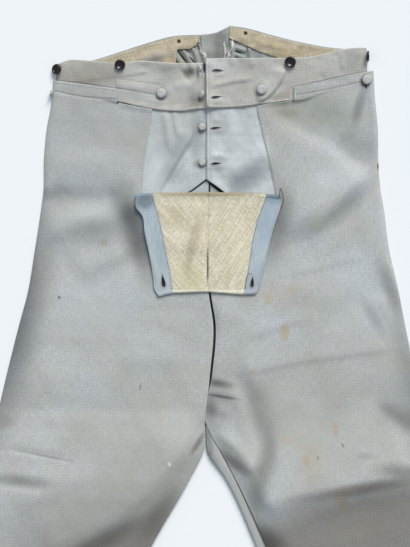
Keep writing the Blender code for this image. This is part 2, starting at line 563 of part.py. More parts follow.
def fall_sheet(pile):
    # The fall rises from the leg fronts, turns over at its fold and lies face down
    rows = smooth_rows(FALL, Fall._fields[:6])
    ends = rows[:, [1, 2, 3, 4, 5]]
    columns = []
    for first, last, spans in ((0, 1, 2), (1, 2, 3), (2, 3, 3), (3, 4, 2)):
        for k in range(spans):
            columns.append(ends[:, first] + (ends[:, last] - ends[:, first]) * k / spans)
    columns.append(ends[:, 4])
    x = np.stack(columns, axis=1)
    y = np.repeat(rows[:, :1], x.shape[1], axis=1)
    keep = np.ones((x.shape[0] - 1, x.shape[1] - 1), bool)
    need = needed(pile, np.dstack((x, y)), keep)
    under = need[0].max()
    top = under + 2 * FALL_ROLL
    fade = np.exp(-(rows[0, 0] - y) / FALL_DROP)
    height = need + (top - need) * fade + np.maximum(fold_height("fall", x, y), 0.0)
    down = np.dstack((x, y, height))

    share = (x[0] - x[0, 0]) / (x[0, -1] - x[0, 0])
    narrow = FALL_BASE[0] + (FALL_BASE[1] - FALL_BASE[0]) * share
    low = np.full_like(narrow, FALL_START_HEIGHT)
    start = [
        np.stack((narrow, np.full_like(narrow, FALL_START), low), 1),
        np.stack((narrow, np.full_like(narrow, FALL_RISEN), np.full_like(narrow, under)), 1),
        np.stack((x[0], np.full_like(narrow, FALL_WIDE), np.full_like(narrow, under)), 1),
    ]
    turn = [np.stack((x[0], y[0], np.full_like(narrow, under)), 1)]
    for angle in (math.radians(value) for value in FALL_TURN[:-1]):
        reach = y[0] + FALL_ROLL * math.sin(angle)
        up = np.full_like(narrow, under + FALL_ROLL * (1 - math.cos(angle)))
        turn.append(np.stack((x[0], reach, up), 1))
    points = np.concatenate((np.stack(start + turn), down))
    return points, len(start) + 1 + FALL_TURN.index(90.0)


def moved_out(points, first_row, first, last, trims):
    # Points of a piece that lies on a panel, cut back a little at its side seams
    out = (points + normals_of(points) * PITCH)[first_row:, first : last + 1].copy()
    for column, neighbour, trim in ((0, 1, trims[0]), (-1, -2, trims[1])):
        step = out[:, neighbour] - out[:, column]
        step /= np.linalg.norm(step, axis=1, keepdims=True)
        out[:, column] += step * trim
    return out


def lay_fall(pile):
    points, tip_row = fall_sheet(pile)
    wall("fall", points, "silk_front", pile=pile)
    pieces = (
        ("fall_facing_left", 0, 2, (0.0, GAP / 2), "facing"),
        ("fall_lining_left", 2, 5, (GAP / 2, GAP / 2), "linen"),
        ("fall_lining_right", 5, 8, (GAP / 2, GAP / 2), "linen"),
        ("fall_facing_right", 8, 10, (GAP / 2, 0.0), "facing"),
    )
    for name, first, last, trims, material in pieces:
        wall(name, moved_out(points, tip_row, first, last, trims), material, pile=pile)


def turned(name, button, material):
    # A button turned about its own axis, set down on the cloth or hung beside it
    profile = COVERED if button.style == "covered" else DISHED
    build = bmesh.new()
    rings = []
    for radius_share, height_share in profile:
        ring = []
        for k in range(BUTTON_SIDES):
            angle = 2 * math.pi * k / BUTTON_SIDES
            reach = radius_share * button.width / 2
            up = height_share * button.height
            point = (reach * math.cos(angle), reach * math.sin(angle), up)
            ring.append(build.verts.new([value * 0.001 for value in point]))
        rings.append(ring)
    for lower, upper in zip(rings, rings[1:]):
        for k in range(BUTTON_SIDES):
            n = (k + 1) % BUTTON_SIDES
            build.faces.new((lower[k], lower[n], upper[n], upper[k]))
    build.faces.new(list(reversed(rings[0])))
    build.faces.new(rings[-1])
    bmesh.ops.recalc_face_normals(build, faces=build.faces)
    made = new_object(name, build, material)
    made.data.shade_smooth()
    made.data.set_sharp_from_angle(angle=math.radians(60))
    return made


def set_button(button):
    material = "covered_button" if button.style == "covered" else "horn"
    made = turned(button.node, button, material)
    made.rotation_euler = (0, math.radians(button.tilt), math.radians(button.toward))
    turn = made.rotation_euler.to_matrix()
    axis = turn @ Vector((0, 0, 1))
    start = Vector((button.x, button.y, button.z)) * 0.001 + axis * BUTTON_DROP
    cloth = bpy.data.objects[button.seat].data
    faces = [list(face.vertices) for face in cloth.polygons]
    seat = BVHTree.FromPolygons([vertex.co for vertex in cloth.vertices], faces)
    casts = [seat.ray_cast(start + turn @ vertex.co, -axis) for vertex in made.data.vertices]
    clear = min(cast[3] for cast in casts if cast[0] is not None)
    made.location = start - axis * (clear - GAP * 0.001)


def slot_cutter(slot, index):
    # A buttonhole's slot, pointed at both ends
    length, width = slot.size
    outline = []
    for k in range(SLOT_SIDES):
        angle = 2 * math.pi * k / SLOT_SIDES
        outline.append((length / 2 * math.cos(angle), width / 2 * math.sin(angle)))
    build = bmesh.new()
    rings = []
    for z in (-CUT_DEPTH / 2, CUT_DEPTH / 2):
        rings.append([build.verts.new((x * 0.001, y * 0.001, z * 0.001)) for x, y in outline])
    build.faces.new(list(reversed(rings[0])))
    build.faces.new(rings[1])
    for k in range(SLOT_SIDES):
        n = (k + 1) % SLOT_SIDES
        build.faces.new((rings[0][k], rings[0][n], rings[1][n], rings[1][k]))
    cutter = new_object(f"slot_cutter_{index}", build, "horn")
    cutter.location = (slot.x * 0.001, slot.y * 0.001, 0)
    cutter.rotation_euler = (0, 0, math.radians(slot.turn))
    cutter.hide_render = True
    cutter.display_type = "WIRE"
    for piece in slot.pieces:
        cut = bpy.data.objects[piece].modifiers.new(f"buttonhole_{index}", "BOOLEAN")
        cut.operation = "DIFFERENCE"
        cut.solver = "EXACT"
        cut.object = cutter


def clear_scene():
    for left in list(bpy.data.objects):
        bpy.data.objects.remove(left, do_unlink=True)


def make_materials():
    for name, (colour, roughness, metallic) in MATERIALS.items():
        material = bpy.data.materials.new(name)
        material.use_nodes = True
        shader = material.node_tree.nodes["Principled BSDF"]
        shader.inputs["Base Color"].default_value = colour
        shader.inputs["Roughness"].default_value = roughness
        shader.inputs["Metallic"].default_value = metallic
        material.diffuse_color = colour


def lay_out():
    # From the table up, in the order in which the layers lie
    pile = Pile()
    leg_back("back_left", LEFT_BACK, LEFT_FRONT, pile, wrapped=False)
    leg_back("back_right", RIGHT_BACK, RIGHT_FRONT, pile, wrapped=True)
    pile_floor = Pile()
    ends = (0.0, 1.0)
    strip("waistband_back_left", LEFT_BACK_BAND, ends, "silk_back", pile_floor)
    strip("waistband_back_right", RIGHT_BACK_BAND, ends, "silk_back", pile_floor)
    strip("back_gusset", GUSSET, (0.0, 0.3, 0.6, 1.0), "silk_back", pile_floor)
    pile.cells = np.maximum(pile.cells, pile_floor.cells)
    thirds = (0.0, 0.35, 0.7, 1.0)
    strip("waistband_lining_left", LEFT_LINING, thirds, "linen_band", pile)
    strip("waistband_lining_right", RIGHT_LINING, thirds, "linen_band", pile)
    strip("bearer_left", LEFT_BEARER, BEARER_SHARES, "silk_bearer", pile)
    strip("bearer_right", RIGHT_BEARER, BEARER_SHARES, "silk_bearer", pile)
    strip("waistband_front_left", LEFT_BAND, BAND_SHARES, "silk_band", pile, "first")
    strip("waistband_front_right", RIGHT_BAND, BAND_SHARES, "silk_band", pile, "last")
    leg_front("front_left", LEFT_FRONT, pile)
    leg_front("front_right", RIGHT_FRONT, pile)
    lay_fall(pile)
    for button in BUTTONS:
        set_button(button)
    for index, slot in enumerate(SLOTS):
        slot_cutter(slot, index)


clear_scene()
make_materials()
lay_out()
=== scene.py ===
import math

import bpy
import numpy as np
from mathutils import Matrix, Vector
from mathutils.bvhtree import BVHTree


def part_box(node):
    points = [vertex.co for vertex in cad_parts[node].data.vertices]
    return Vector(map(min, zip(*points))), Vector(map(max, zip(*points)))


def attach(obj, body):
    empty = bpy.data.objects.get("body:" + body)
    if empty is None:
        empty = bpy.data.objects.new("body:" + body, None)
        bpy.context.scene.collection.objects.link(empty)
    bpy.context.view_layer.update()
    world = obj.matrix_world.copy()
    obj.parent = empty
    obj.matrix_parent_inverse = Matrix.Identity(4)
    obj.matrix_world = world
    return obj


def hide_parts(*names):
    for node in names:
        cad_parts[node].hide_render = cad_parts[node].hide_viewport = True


# Narrow-fall trousers, laid flat with the fall open. Sizes are in millimetres until a mesh
# is made. X runs to the right, Y up towards the waist, Z up from the table.
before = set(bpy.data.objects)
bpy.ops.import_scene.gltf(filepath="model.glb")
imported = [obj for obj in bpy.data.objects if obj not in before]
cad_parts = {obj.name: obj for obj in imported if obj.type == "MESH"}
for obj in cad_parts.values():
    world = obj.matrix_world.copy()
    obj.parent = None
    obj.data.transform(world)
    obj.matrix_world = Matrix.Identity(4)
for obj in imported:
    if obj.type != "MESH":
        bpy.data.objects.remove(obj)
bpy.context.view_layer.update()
mm = 0.001

# What the camera sees, and the light
view = {"down": 711, "middleX": 0, "middleY": 258, "height": 1900, "sensor": 24}
studio = {
    "floor": "#f0f6fb", "floorHalf": 12,  # in metres
    "sky": "#eaf2fb", "skyStrength": 0.43,
    "keyFrom": (0.3, 1, 0.68),  # towards the light
    "keySpread": 34,  # in degrees, for soft shadows
    "keyStrength": 3.6, "keyColour": "#fffaf3",
}

# The height of what has been laid down so far, on a fine grid
pile = {"cell": 1.5, "halfWidth": 450, "halfLength": 615}
pile["top"] = np.zeros([int(2 * pile[half] / pile["cell"]) for half in ("halfWidth", "halfLength")])
surfaces = {}  # the form of each piece, to set stitches on
castFrom = 60  # above everything


def cellOf(x, y):
    column = (np.asarray(x, float) + pile["halfWidth"]) / pile["cell"] - 0.5
    row = (np.asarray(y, float) + pile["halfLength"]) / pile["cell"] - 0.5
    lastColumn, lastRow = np.array(pile["top"].shape) - 2
    return np.clip(column, 0, lastColumn), np.clip(row, 0, lastRow)


def everyFace(points):
    return np.ones((points.shape[0] - 1, points.shape[1] - 1), bool)


def layDown(points, keep):
    i, j = np.nonzero(keep)
    a, b, c, d = points[i, j], points[i + 1, j], points[i, j + 1], points[i + 1, j + 1]
    longest = max(np.abs((b - a)[:, :2]).max(), np.abs((c - a)[:, :2]).max())
    shares = np.linspace(0, 1, int(longest / pile["cell"]) + 2)
    for down in shares:
        for across in shares:
            upper = a + (c - a) * across
            lower = b + (d - b) * across
            at = upper + (lower - upper) * down
            column, row = cellOf(at[:, 0], at[:, 1])
            where = (np.rint(column).astype(int), np.rint(row).astype(int))
            np.maximum.at(pile["top"], where, at[:, 2])


def widened(top):
    edged = np.pad(top, 1)
    width, length = top.shape
    return np.max([edged[a:a + width, b:b + length] for a in range(3) for b in range(3)], axis=0)


def heightBelow(x, y):
    # what has been laid down so far, with a margin round it
    top = widened(pile["top"])
    column, row = cellOf(x, y)
    i, j = column.astype(int), row.astype(int)
    s, t = column - i, row - j
    left = top[i, j] * (1 - t) + top[i, j + 1] * t
    right = top[i + 1, j] * (1 - t) + top[i + 1, j + 1] * t
    return left * (1 - s) + right * s


def averaged(height):
    edged = np.pad(height, 1, mode="edge")
    return (edged[:-2, 1:-1] + edged[2:, 1:-1] + edged[1:-1, :-2] + edged[1:-1, 2:]) / 4


def settled(least, start, weight, rounds):
    # cloth that bridges hollows, and sinks slowly past an edge below it
    height = np.maximum(start, least)
    for _ in range(rounds):
        height = np.maximum(least, averaged(height) - weight)
    return height


def curveThrough(rows, steps, straight=False):
    # rows of numbers on a smooth curve, or on straight lines, through the given ones
    knots = np.array(rows, float)
    span = np.linalg.norm(np.diff(knots[:, :2], axis=0), axis=1)[:, None]
    slope = np.diff(knots, axis=0) / span
    middle = (slope[1:] * span[:-1] + slope[:-1] * span[1:]) / (span[:-1] + span[1:])
    tangent = np.vstack((slope[:1], middle, slope[-1:]))
    made = []
    for i, count in enumerate(steps):
        t = np.arange(count)[:, None] / count
        if straight:
            made.append(knots[i] + (knots[i + 1] - knots[i]) * t)
            continue
        made.append(
            (2 * t**3 - 3 * t**2 + 1) * knots[i]
            + (t**3 - 2 * t**2 + t) * span[i] * tangent[i]
            + (3 * t**2 - 2 * t**3) * knots[i + 1]
            + (t**3 - t**2) * span[i] * tangent[i + 1]
        )
    return np.vstack(made + [knots[-1:]])


def lengthAlong(line):
    return np.append(0, np.cumsum(np.linalg.norm(np.diff(line, axis=0), axis=1)))


def between(start, end, share):
    return start[:, None] + (end - start)[:, None] * share[None, :, None]


def smoothStep(value):
    value = np.clip(value, 0, 1)
    return value * value * (3 - 2 * value)


def rounded(share):
    # a quarter of an oval
    return np.sqrt(1 - (1 - np.clip(share, 0, 1)) ** 2)


def foldHeight(folds, x, y):
    # folds: path from left to right, width above it, width below it, height, share that fades
    total = np.zeros_like(x)
    for path, above, below, height, *ends in folds:
        line = curveThrough(path, [8] * (len(path) - 1)) if len(path) > 2 else np.array(path, float)
        length = lengthAlong(line)
        nearest = np.full(x.shape, 1e9)
        aside, along = np.zeros_like(x), np.zeros_like(x)
        for k, (start, end) in enumerate(zip(line, line[1:])):
            run = (end - start) / np.linalg.norm(end - start)
            dx, dy = x - start[0], y - start[1]
            at = np.clip(dx * run[0] + dy * run[1], 0, length[k + 1] - length[k])
            far = np.hypot(dx - at * run[0], dy - at * run[1])
            side = np.where(run[0] * dy - run[1] * dx >= 0, 1, -1)
            closer = far < nearest
            nearest = np.where(closer, far, nearest)
            aside = np.where(closer, far * side, aside)
            along = np.where(closer, (length[k] + at) / length[-1], along)
        width = np.where(aside >= 0, above, below)
        fade = smoothStep(np.minimum(along, 1 - along) / (ends[0] if ends else 0.3))
        total += height * np.exp(-((aside / width) ** 2)) * fade
    return total


def uneven(x, y, seed, swells):
    # crossing waves of each size, which make cloth lie a little unevenly
    dice = np.random.default_rng(seed)
    total = np.zeros_like(x)
    for size, height in swells:
        for _ in range(6):
            turn, shift, stretch = dice.uniform((0, 0, 0.7), (math.pi, 2 * math.pi, 1.5))
            wave = (x * math.cos(turn) + y * math.sin(turn)) * 2 * math.pi / (size * stretch)
            total += height / 2.4 * np.sin(wave + shift)
    return total


def normalsOf(points):
    normal = np.cross(np.gradient(points, axis=1), np.gradient(points, axis=0))
    normal /= np.linalg.norm(normal, axis=2, keepdims=True) + 1e-12
    return normal if normal[-1, :, 2].sum() > 0 else -normal


def addMesh(name, vertices, faces, material):
    mesh = bpy.data.meshes.new(name)
    mesh.from_pydata(np.asarray(vertices).tolist(), [], faces)
    mesh.materials.append(material)
    mesh.shade_smooth()
    made = bpy.data.objects.new(name, mesh)
    bpy.context.scene.collection.objects.link(made)
    return made


def layCloth(name, node, points, thick, material, keep=None, laidFrom=0):
    # a closed thin wall on both sides of a sheet of points, with rounded edges
    keep = everyFace(points) if keep is None else keep
    normal = normalsOf(points)
    used = np.zeros(points.shape[:2], bool)
    for a, b in ((0, 0), (0, 1), (1, 0), (1, 1)):
        used[a:a + keep.shape[0], b:b + keep.shape[1]] |= keep
    count = int(used.sum())
    index = np.full(used.shape, -1)
    index[used] = np.arange(count)
    i, j = np.nonzero(keep)
    ring = np.stack((index[i, j], index[i, j + 1], index[i + 1, j + 1], index[i + 1, j]), 1)
    if np.cross(points[-1, 1] - points[-1, 0], points[-2, 0] - points[-1, 0])[2] > 0:
        ring = ring[:, ::-1]
    starts, ends = ring.ravel(), np.roll(ring, -1, axis=1).ravel()
    onEdge = ~np.isin(starts * count + ends, ends * count + starts)
    p, q = starts[onEdge], ends[onEdge]

    middle, up = points[used], normal[used]
    outward = np.zeros_like(middle)
    aside = np.cross(middle[q] - middle[p], (up[p] + up[q]) / 2)
    aside /= np.linalg.norm(aside, axis=1, keepdims=True) + 1e-12
    np.add.at(outward, p, aside)
    np.add.at(outward, q, aside)
    rim = np.unique(p)
    outward[rim] /= np.linalg.norm(outward[rim], axis=1, keepdims=True) + 1e-12
    place = np.full(count, -1)
    place[rim] = np.arange(len(rim)) + 2 * count
    half = thick / 2
    vertices = np.vstack((middle + up * half, middle - up * half, middle[rim] + outward[rim] * half)) * mm
    upperRim = np.stack((q, p, place[p], place[q]), 1)
    lowerRim = np.stack((place[q], place[p], p + count, q + count), 1)
    faces = np.vstack((ring, ring[:, ::-1] + count, upperRim, lowerRim)).tolist()
    made = addMesh(name, vertices, faces, material)
    surfaces[name] = BVHTree.FromPolygons((vertices / mm).tolist(), faces)
    layDown((points + normal * half)[laidFrom:], keep[laidFrom:])
    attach(made, "root")
    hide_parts(node)
    print("made", name, len(faces), "faces")


def onTop(names, x, y):
    # the height of the topmost of the named pieces, or None beside them
    hits = [surfaces[name].ray_cast(Vector((x, y, castFrom)), Vector((0, 0, -1)))[0] for name in names]
    hits = [hit.z for hit in hits if hit is not None]
    return max(hits) if hits else None


def hexColour(code):
    channels = [int(code[k:k + 2], 16) / 255 for k in (1, 3, 5)]
    linear = [c / 12.92 if c <= 0.04045 else ((c + 0.055) / 1.055) ** 2.4 for c in channels]
    return (*linear, 1)


def newMaterial(name, values):
    material = bpy.data.materials.new(name)
    material.use_nodes = True
    shader = material.node_tree.nodes["Principled BSDF"].inputs
    for socket, value in values.items():
        shader[socket].default_value = value
    return material, material.node_tree, shader


def addNode(tree, kind, settings=None, links=None, output=0):
    node = tree.nodes.new("ShaderNode" + kind)
    for name, value in (settings or {}).items():
        if isinstance(name, str) and hasattr(node, name):
            setattr(node, name, value)
        else:
            node.inputs[name].default_value = value
    for name, source in (links or {}).items():
        tree.links.new(source, node.inputs[name])
    return node.outputs[output]


def wovenCloth(name, finish, stainsAndShade=()):
    # Plain weave of fine threads, dyed in the piece and faded with wear. It gives a soft,
    # even grey with faint streaks along both threads, stains where it was handled, and painted shade laid on
    # as patches.
    matt = {"Roughness": finish["rough"], "IOR": 1.5, "Specular IOR Level": 0.25}
    matt.update({"Sheen Weight": finish["sheen"], "Sheen Roughness": 0.45})
    material, tree, shader = newMaterial(name, matt)
    place = addNode(tree, "TexCoord", output="Object")
    flat = addNode(tree, "VectorMath", {"operation": "MULTIPLY", 1: (1, 1, 0)}, {0: place})
    clouds = {"Scale": 1 / (finish["cloud"] * mm), "Detail": 3, "Roughness": 0.55}
    cloudy = addNode(tree, "TexNoise", clouds, {"Vector": place})
    spread = addNode(tree, "MapRange", {"From Min": 0.32, "From Max": 0.68}, {"Value": cloudy})
    tones = {"data_type": "RGBA", 6: hexColour(finish["shade"]), 7: hexColour(finish["tone"])}
    colour = addNode(tree, "Mix", tones, {0: spread}, 2)

    # slubs: long thin noise along each thread
    turn = (0, 0, finish["turn"])
    streaks = []
    for along, across in finish["streaks"]:
        drawn = {"vector_type": "TEXTURE", "Scale": (along * mm, across * mm, 1), "Rotation": turn}
        stretched = addNode(tree, "Mapping", drawn, {"Vector": place})
        streaks.append(addNode(tree, "TexNoise", {"Scale": 1, "Detail": 2}, {"Vector": stretched}))
    slubs = streaks[0]
    for streak in streaks[1:]:
        slubs = addNode(tree, "Math", {"operation": "ADD"}, {0: slubs, 1: streak})
    middle = len(streaks) / 2
    cut = {"From Min": middle - 0.25, "From Max": middle + 0.25, "To Max": finish["slub"]}
    slub = addNode(tree, "MapRange", cut, {"Value": slubs})
    thread = {"data_type": "RGBA", 7: hexColour(finish["thread"])}
    colour = addNode(tree, "Mix", thread, {0: slub, 6: colour}, 2)

    tears = {"Scale": 1 / (finish["ragged"] * mm), "Detail": 4}
    ragged = addNode(tree, "TexNoise", tears, {"Vector": place})
    # patches of stain and wear, and of painted shade and shadow, over the cloth's colour
    for x, y, wide, high, lean, code, strength, soft in stainsAndShade:
        spot = {
            "vector_type": "TEXTURE", "Location": (x * mm, y * mm, 0),
            "Rotation": (0, 0, math.radians(lean)), "Scale": (wide * mm, high * mm, 1),
        }
        offset = addNode(tree, "Mapping", spot, {"Vector": flat})
        distance = addNode(tree, "VectorMath", {"operation": "LENGTH"}, {0: offset}, "Value")
        tear = min(0.8 * (1 - soft), finish["tear"] / max(wide, high))  # wide shades stay even
        torn = addNode(tree, "Math", {"operation": "MULTIPLY_ADD", 1: tear}, {0: ragged, 2: distance})
        fade = {
            "interpolation_type": "SMOOTHSTEP", "To Min": strength, "To Max": 0,
            "From Min": 0.9 - soft + tear / 2, "From Max": 1.1 + soft + tear / 2,
        }
        mask = addNode(tree, "MapRange", fade, {"Value": torn})
        stainAndShadeMix = {"data_type": "RGBA", 7: hexColour(code)}
        colour = addNode(tree, "Mix", stainAndShadeMix, {0: mask, 6: colour}, 2)
    tree.links.new(colour, shader["Base Color"])

    # the threads are about 0.3 mm apart, too fine for the picture: drawn coarser
    turned = addNode(tree, "Mapping", {"Rotation": turn}, {"Vector": place})
    threadsApart = {"Scale": math.pi / (10 * finish["weave"] * mm)}
    wavy = {"Distortion": 2.5, "Detail": 2, "Detail Scale": 1.5}
    ribs = []
    for direction in ("X", "Y"):
        wave = {"bands_direction": direction, **threadsApart, **wavy}
        ribs.append(addNode(tree, "TexWave", wave, {"Vector": turned}, "Fac"))
    crossed = addNode(tree, "Math", {"operation": "MULTIPLY"}, {0: ribs[0], 1: ribs[1]})
    surface = addNode(tree, "Math", {"operation": "ADD"}, {0: crossed, 1: slubs})
    raised = {"Strength": finish["relief"], "Distance": 0.6 * mm}
    tree.links.new(addNode(tree, "Bump", raised, {"Height": surface}), shader["Normal"])
    return material


def mottled(name, shade, tone, patch, detail, values):
    # two tones in soft patches of a size in millimetres
    material, tree, shader = newMaterial(name, values)
    place = addNode(tree, "TexCoord", output="Object")
    patchy = addNode(tree, "TexNoise", {"Scale": 1 / (patch * mm), "Detail": detail}, {"Vector": place})
    tones = {"data_type": "RGBA", 6: hexColour(shade), 7: hexColour(tone)}
    tree.links.new(addNode(tree, "Mix", tones, {0: patchy}, 2), shader["Base Color"])
    return material


# cloud, streaks, weave, tear and ragged are sizes in millimetres, turn is in radians
greyCloth = {
    "tone": "#c2c9cf", "shade": "#b8bab5", "thread": "#979da0", "cloud": 60,
    "streaks": ((7, 1.2), (1.2, 10), (1.5, 1.7)), "slub": 0.6, "turn": 0, "weave": 2.4,
    "relief": 0.3, "rough": 0.62, "sheen": 0.12, "tear": 5, "ragged": 9,
}
bandCloth = dict(greyCloth, tone="#c2c4c1", shade="#b5b5b0", thread="#9d9d98", cloud=34)
bearerCloth = dict(greyCloth, tone="#cad2d7", shade="#bdc4c8", thread="#a9b0b4", cloud=30)
backCloth = dict(greyCloth, tone="#a6acab", shade="#939996", thread="#7f8583", cloud=24)
buttonCloth = dict(greyCloth, tone="#c6c8c9", shade="#babcbc", cloud=6)
blueFacing = dict(greyCloth, tone="#c0ccd2", shade="#afbec8", thread="#96a8b4", cloud=22)
blueFacing["streaks"] = ((1.4, 24), (0.9, 12))
linenLeft = dict(greyCloth, tone="#f0edda", shade="#e6e1c9", thread="#a0967c", cloud=16)
linenLeft.update(streaks=((60, 1.9), (1.5, 9), (1.7, 1.7)), slub=0.62, turn=-0.85, weave=2)
linenLeft.update(relief=0.4, rough=0.85, sheen=0.1)
linenRight = dict(linenLeft, turn=1)
linenBand = dict(linenLeft, tone="#c8c0ab", shade="#b6ac94", thread="#8b8069", turn=0.1, slub=0.5)

# stains, worn places and painted shade: X, Y, half width, half height, turn, colour, strength, softness
leftStainsAndShade = (
    # the lower inner part, turned from the light: painted shade, with some soil in its tint
    (-104, -116, 116, 44, 27, "#68635d", 0.75, 0.35), (-134, -88, 54, 11, 28, "#3f3d3a", 0.72, 0.7),
    (-58, -50, 34, 12, 52, "#45423f", 0.65, 0.7), (-150, -46, 110, 44, 22, "#85867f", 0.6, 0.9),
    # broad darker patches
    (-60, 60, 90, 70, 10, "#a3a598", 0.4, 0.9), (-150, 445, 80, 50, -8, "#969c9b", 0.4, 0.9),
    (-70, 196, 60, 26, 0, "#a2a79e", 0.3, 0.9), (-150, 334, 60, 30, 10, "#a2a8ab", 0.35, 0.9),
    # painted shade in the crease by the crotch
    (-9, 38, 3.4, 15, -33, "#5a5c5c", 0.62, 0.6),
    # the rolled outer edge and a fold near its top: painted shade where they turn from the light; and a
    # brown-grey stain
    (-248, 190, 28, 124, -13, "#565c60", 0.78, 0.8), (-206, 362, 26, 8, -4, "#6f7679", 0.5, 0.8),
    (-262, 66, 16, 8, 0, "#857b76", 0.4, 0.6),
    # the hollow beside the fall: painted shadow; then small stains and marks, and painted shade along two
    # creases lower down near the outer edge
    (-90, 312, 17, 52, 16, "#394045", 0.68, 0.8), (-136, 226, 50, 40, 0, "#ccd5de", 0.22, 0.9),
    (-97, 332, 10, 14, 0, "#4a4f52", 0.5, 0.8), (-124, 316, 40, 15, 6, "#7b8286", 0.45, 0.8),
    (-131, 298, 5, 5, 0, "#9a8d72", 0.35, 0.35), (-189, 227, 2.2, 2.4, 0, "#4d4a48", 0.6, 0.2),
    (-169, 170, 9, 6, 0, "#a79f84", 0.3, 0.4), (-84, 110.5, 0.8, 5, -6, "#5a5a5c", 0.6, 0.2),
    (-46, 12, 2, 3, 30, "#dfe4ea", 0.6, 0.25), (-236, -10, 34, 7, -6, "#5c5f60", 0.5, 0.8),
    (-204, 21.5, 30, 1.8, -11, "#62666a", 0.5, 0.6),
    # painted shade below the buttonhole of the fall, so that it shows dark
    (-54.3, 248.4, 4, 9, 8, "#232326", 0.96, 0.25),
)
rightStainsAndShade = (
    # the broad dark lower part, turned from the light: painted shade, with some soil in its tint; painted
    # shade below the folds, in the trough under the pocket button, under the pocket tab and in the hollow
    # beside the fall; and broad lighter and darker patches
    (190, -91, 190, 60, 17, "#5f5950", 0.7, 0.25), (190, 226, 40, 40, 0, "#ccd5de", 0.2, 0.9),
    (172, 384, 36, 26, 0, "#d4dce2", 0.18, 0.9), (72, -90, 36, 22, -38, "#33312d", 0.7, 0.6),
    (196, -20, 66, 7, 9, "#484341", 0.55, 0.7), (253, 3, 26, 8, -6, "#4c4e4f", 0.6, 0.8),
    (196, -22, 44, 6, 12, "#6b5348", 0.35, 0.8), (196, -78, 70, 7, 10, "#8a8780", 0.35, 0.9),
    (140, 60, 110, 80, 0, "#9fa197", 0.45, 0.9), (141, 470, 66, 26, -18, "#8f9784", 0.5, 0.6),
    (199, 472, 6, 18, -14, "#5f6467", 0.6, 0.7), (202, 424, 24, 15, -20, "#82888f", 0.45, 0.8),
    (104, 468, 16, 7, -14, "#8b8579", 0.5, 0.7), (95, 321, 14, 38, -13, "#454b4e", 0.58, 0.8),
    (128, 318, 30, 12, 30, "#7d8488", 0.4, 0.8), (182, 345, 38, 10, 44, "#767d81", 0.5, 0.8),
    # the rolled outer edge and the hollows of its folds: painted shade; and a small dark mark
    (288, 96, 26, 110, 11, "#62686b", 0.62, 0.8), (240, 240, 9, 30, 22, "#6d7377", 0.55, 0.7),
    (217, 203, 6, 24, 30, "#7d8387", 0.45, 0.8), (258, 73, 26, 12, -40, "#64686a", 0.6, 0.8),
    (248, 98, 18, 22, 0, "#8b9194", 0.45, 0.9), (224.6, 397, 1.4, 4, 0, "#3a3c3e", 0.8, 0.3),
    (208, 22, 14, 4, 0, "#858989", 0.4, 0.8),
    # painted shade in the valley below the crotch and in the creases beside it
    (68, 76, 9, 48, 18, "#5f6467", 0.55, 0.9), (73, -6, 10, 38, -12, "#595c56", 0.62, 0.9),
    (16, 96, 20, 30, -12, "#7b8180", 0.5, 0.8), (15, 116, 14, 4.6, -8, "#4b4f4c", 0.62, 0.8),
    (21, 98.6, 19, 1.7, -9, "#3d4142", 0.6, 0.6), (7, 84, 8, 12, 10, "#555a54", 0.6, 0.8),
    (36, 14, 24, 6, -38, "#4c5052", 0.62, 0.7),
    # tan drops and small dark marks; the last is painted shade below the buttonhole of the fall
    (103, 182, 6, 11, 0, "#b09a70", 0.5, 0.4), (81, 225, 5, 7, 0, "#b8a682", 0.4, 0.4),
    (113, 238, 6, 5, 0, "#b8a682", 0.35, 0.4), (98, 232, 28, 17, 0, "#b9a888", 0.26, 0.7),
    (140, 8, 14, 26, 0, "#ae9c86", 0.25, 0.7), (62, 131, 4, 4, 0, "#b39c7a", 0.35, 0.4),
    (169, 57, 4, 9, 0, "#ae9674", 0.4, 0.4), (131, 16, 4, 10, 0, "#ae9674", 0.35, 0.5),
    (107, 42, 8, 6, 0, "#b3a283", 0.25, 0.5), (178, -36, 8, 14, 10, "#93795c", 0.3, 0.5),
    (146, 322, 12, 10, 0, "#a1a284", 0.3, 0.5), (178, 36, 1.2, 3, 30, "#5c5752", 0.6, 0.2),
    (146, 20, 1.2, 3, 0, "#5c5752", 0.5, 0.2), (61.2, 247.2, 4, 8, -6, "#232326", 0.96, 0.25),
    # painted shadow under the pocket button, and below it a painted dark slit for its buttonhole
    (208.4, 507.4, 7.4, 7.4, 0, "#3c3e40", 0.8, 0.2), (208.8, 500.4, 1.1, 3.6, 8, "#1c1c1e", 0.95, 0.15),
)
bandStainsAndShade = (
    # painted shade in the hollows beside the fly, under the buttons of the fall and along the top edges of
    # the pocket tabs; the rest are lighter and darker patches
    (-150, 512, 44, 18, 0, "#86827a", 0.6, 0.6), (-21, 517, 7, 6, 20, "#474643", 0.66, 0.6),
    (-11, 481.5, 10, 5.6, 10, "#474643", 0.66, 0.7), (100, 487, 18, 6, 20, "#8f8b83", 0.6, 0.5),
    (-92, 492, 40, 11, -9, "#aeb4b4", 0.6, 0.5), (-56, 489.6, 8, 8, 0, "#6e706f", 0.6, 0.35),
    (71.6, 494.6, 8, 8, 0, "#6e706f", 0.6, 0.35), (18, 526, 22, 10, 0, "#c9d1d5", 0.45, 0.6),
    (164, 510.4, 54, 1.5, 12.1, "#62666a", 0.6, 0.4), (-156, 504, 42, 1.4, -7.7, "#62666a", 0.6, 0.4),
    (190, 525, 12, 20, 0, "#8f9394", 0.5, 0.7), (-34, 500, 14, 7, 10, "#c9cdcb", 0.5, 0.6),
    (-84, 516, 24, 12, 0, "#cdcfca", 0.4, 0.8),
)
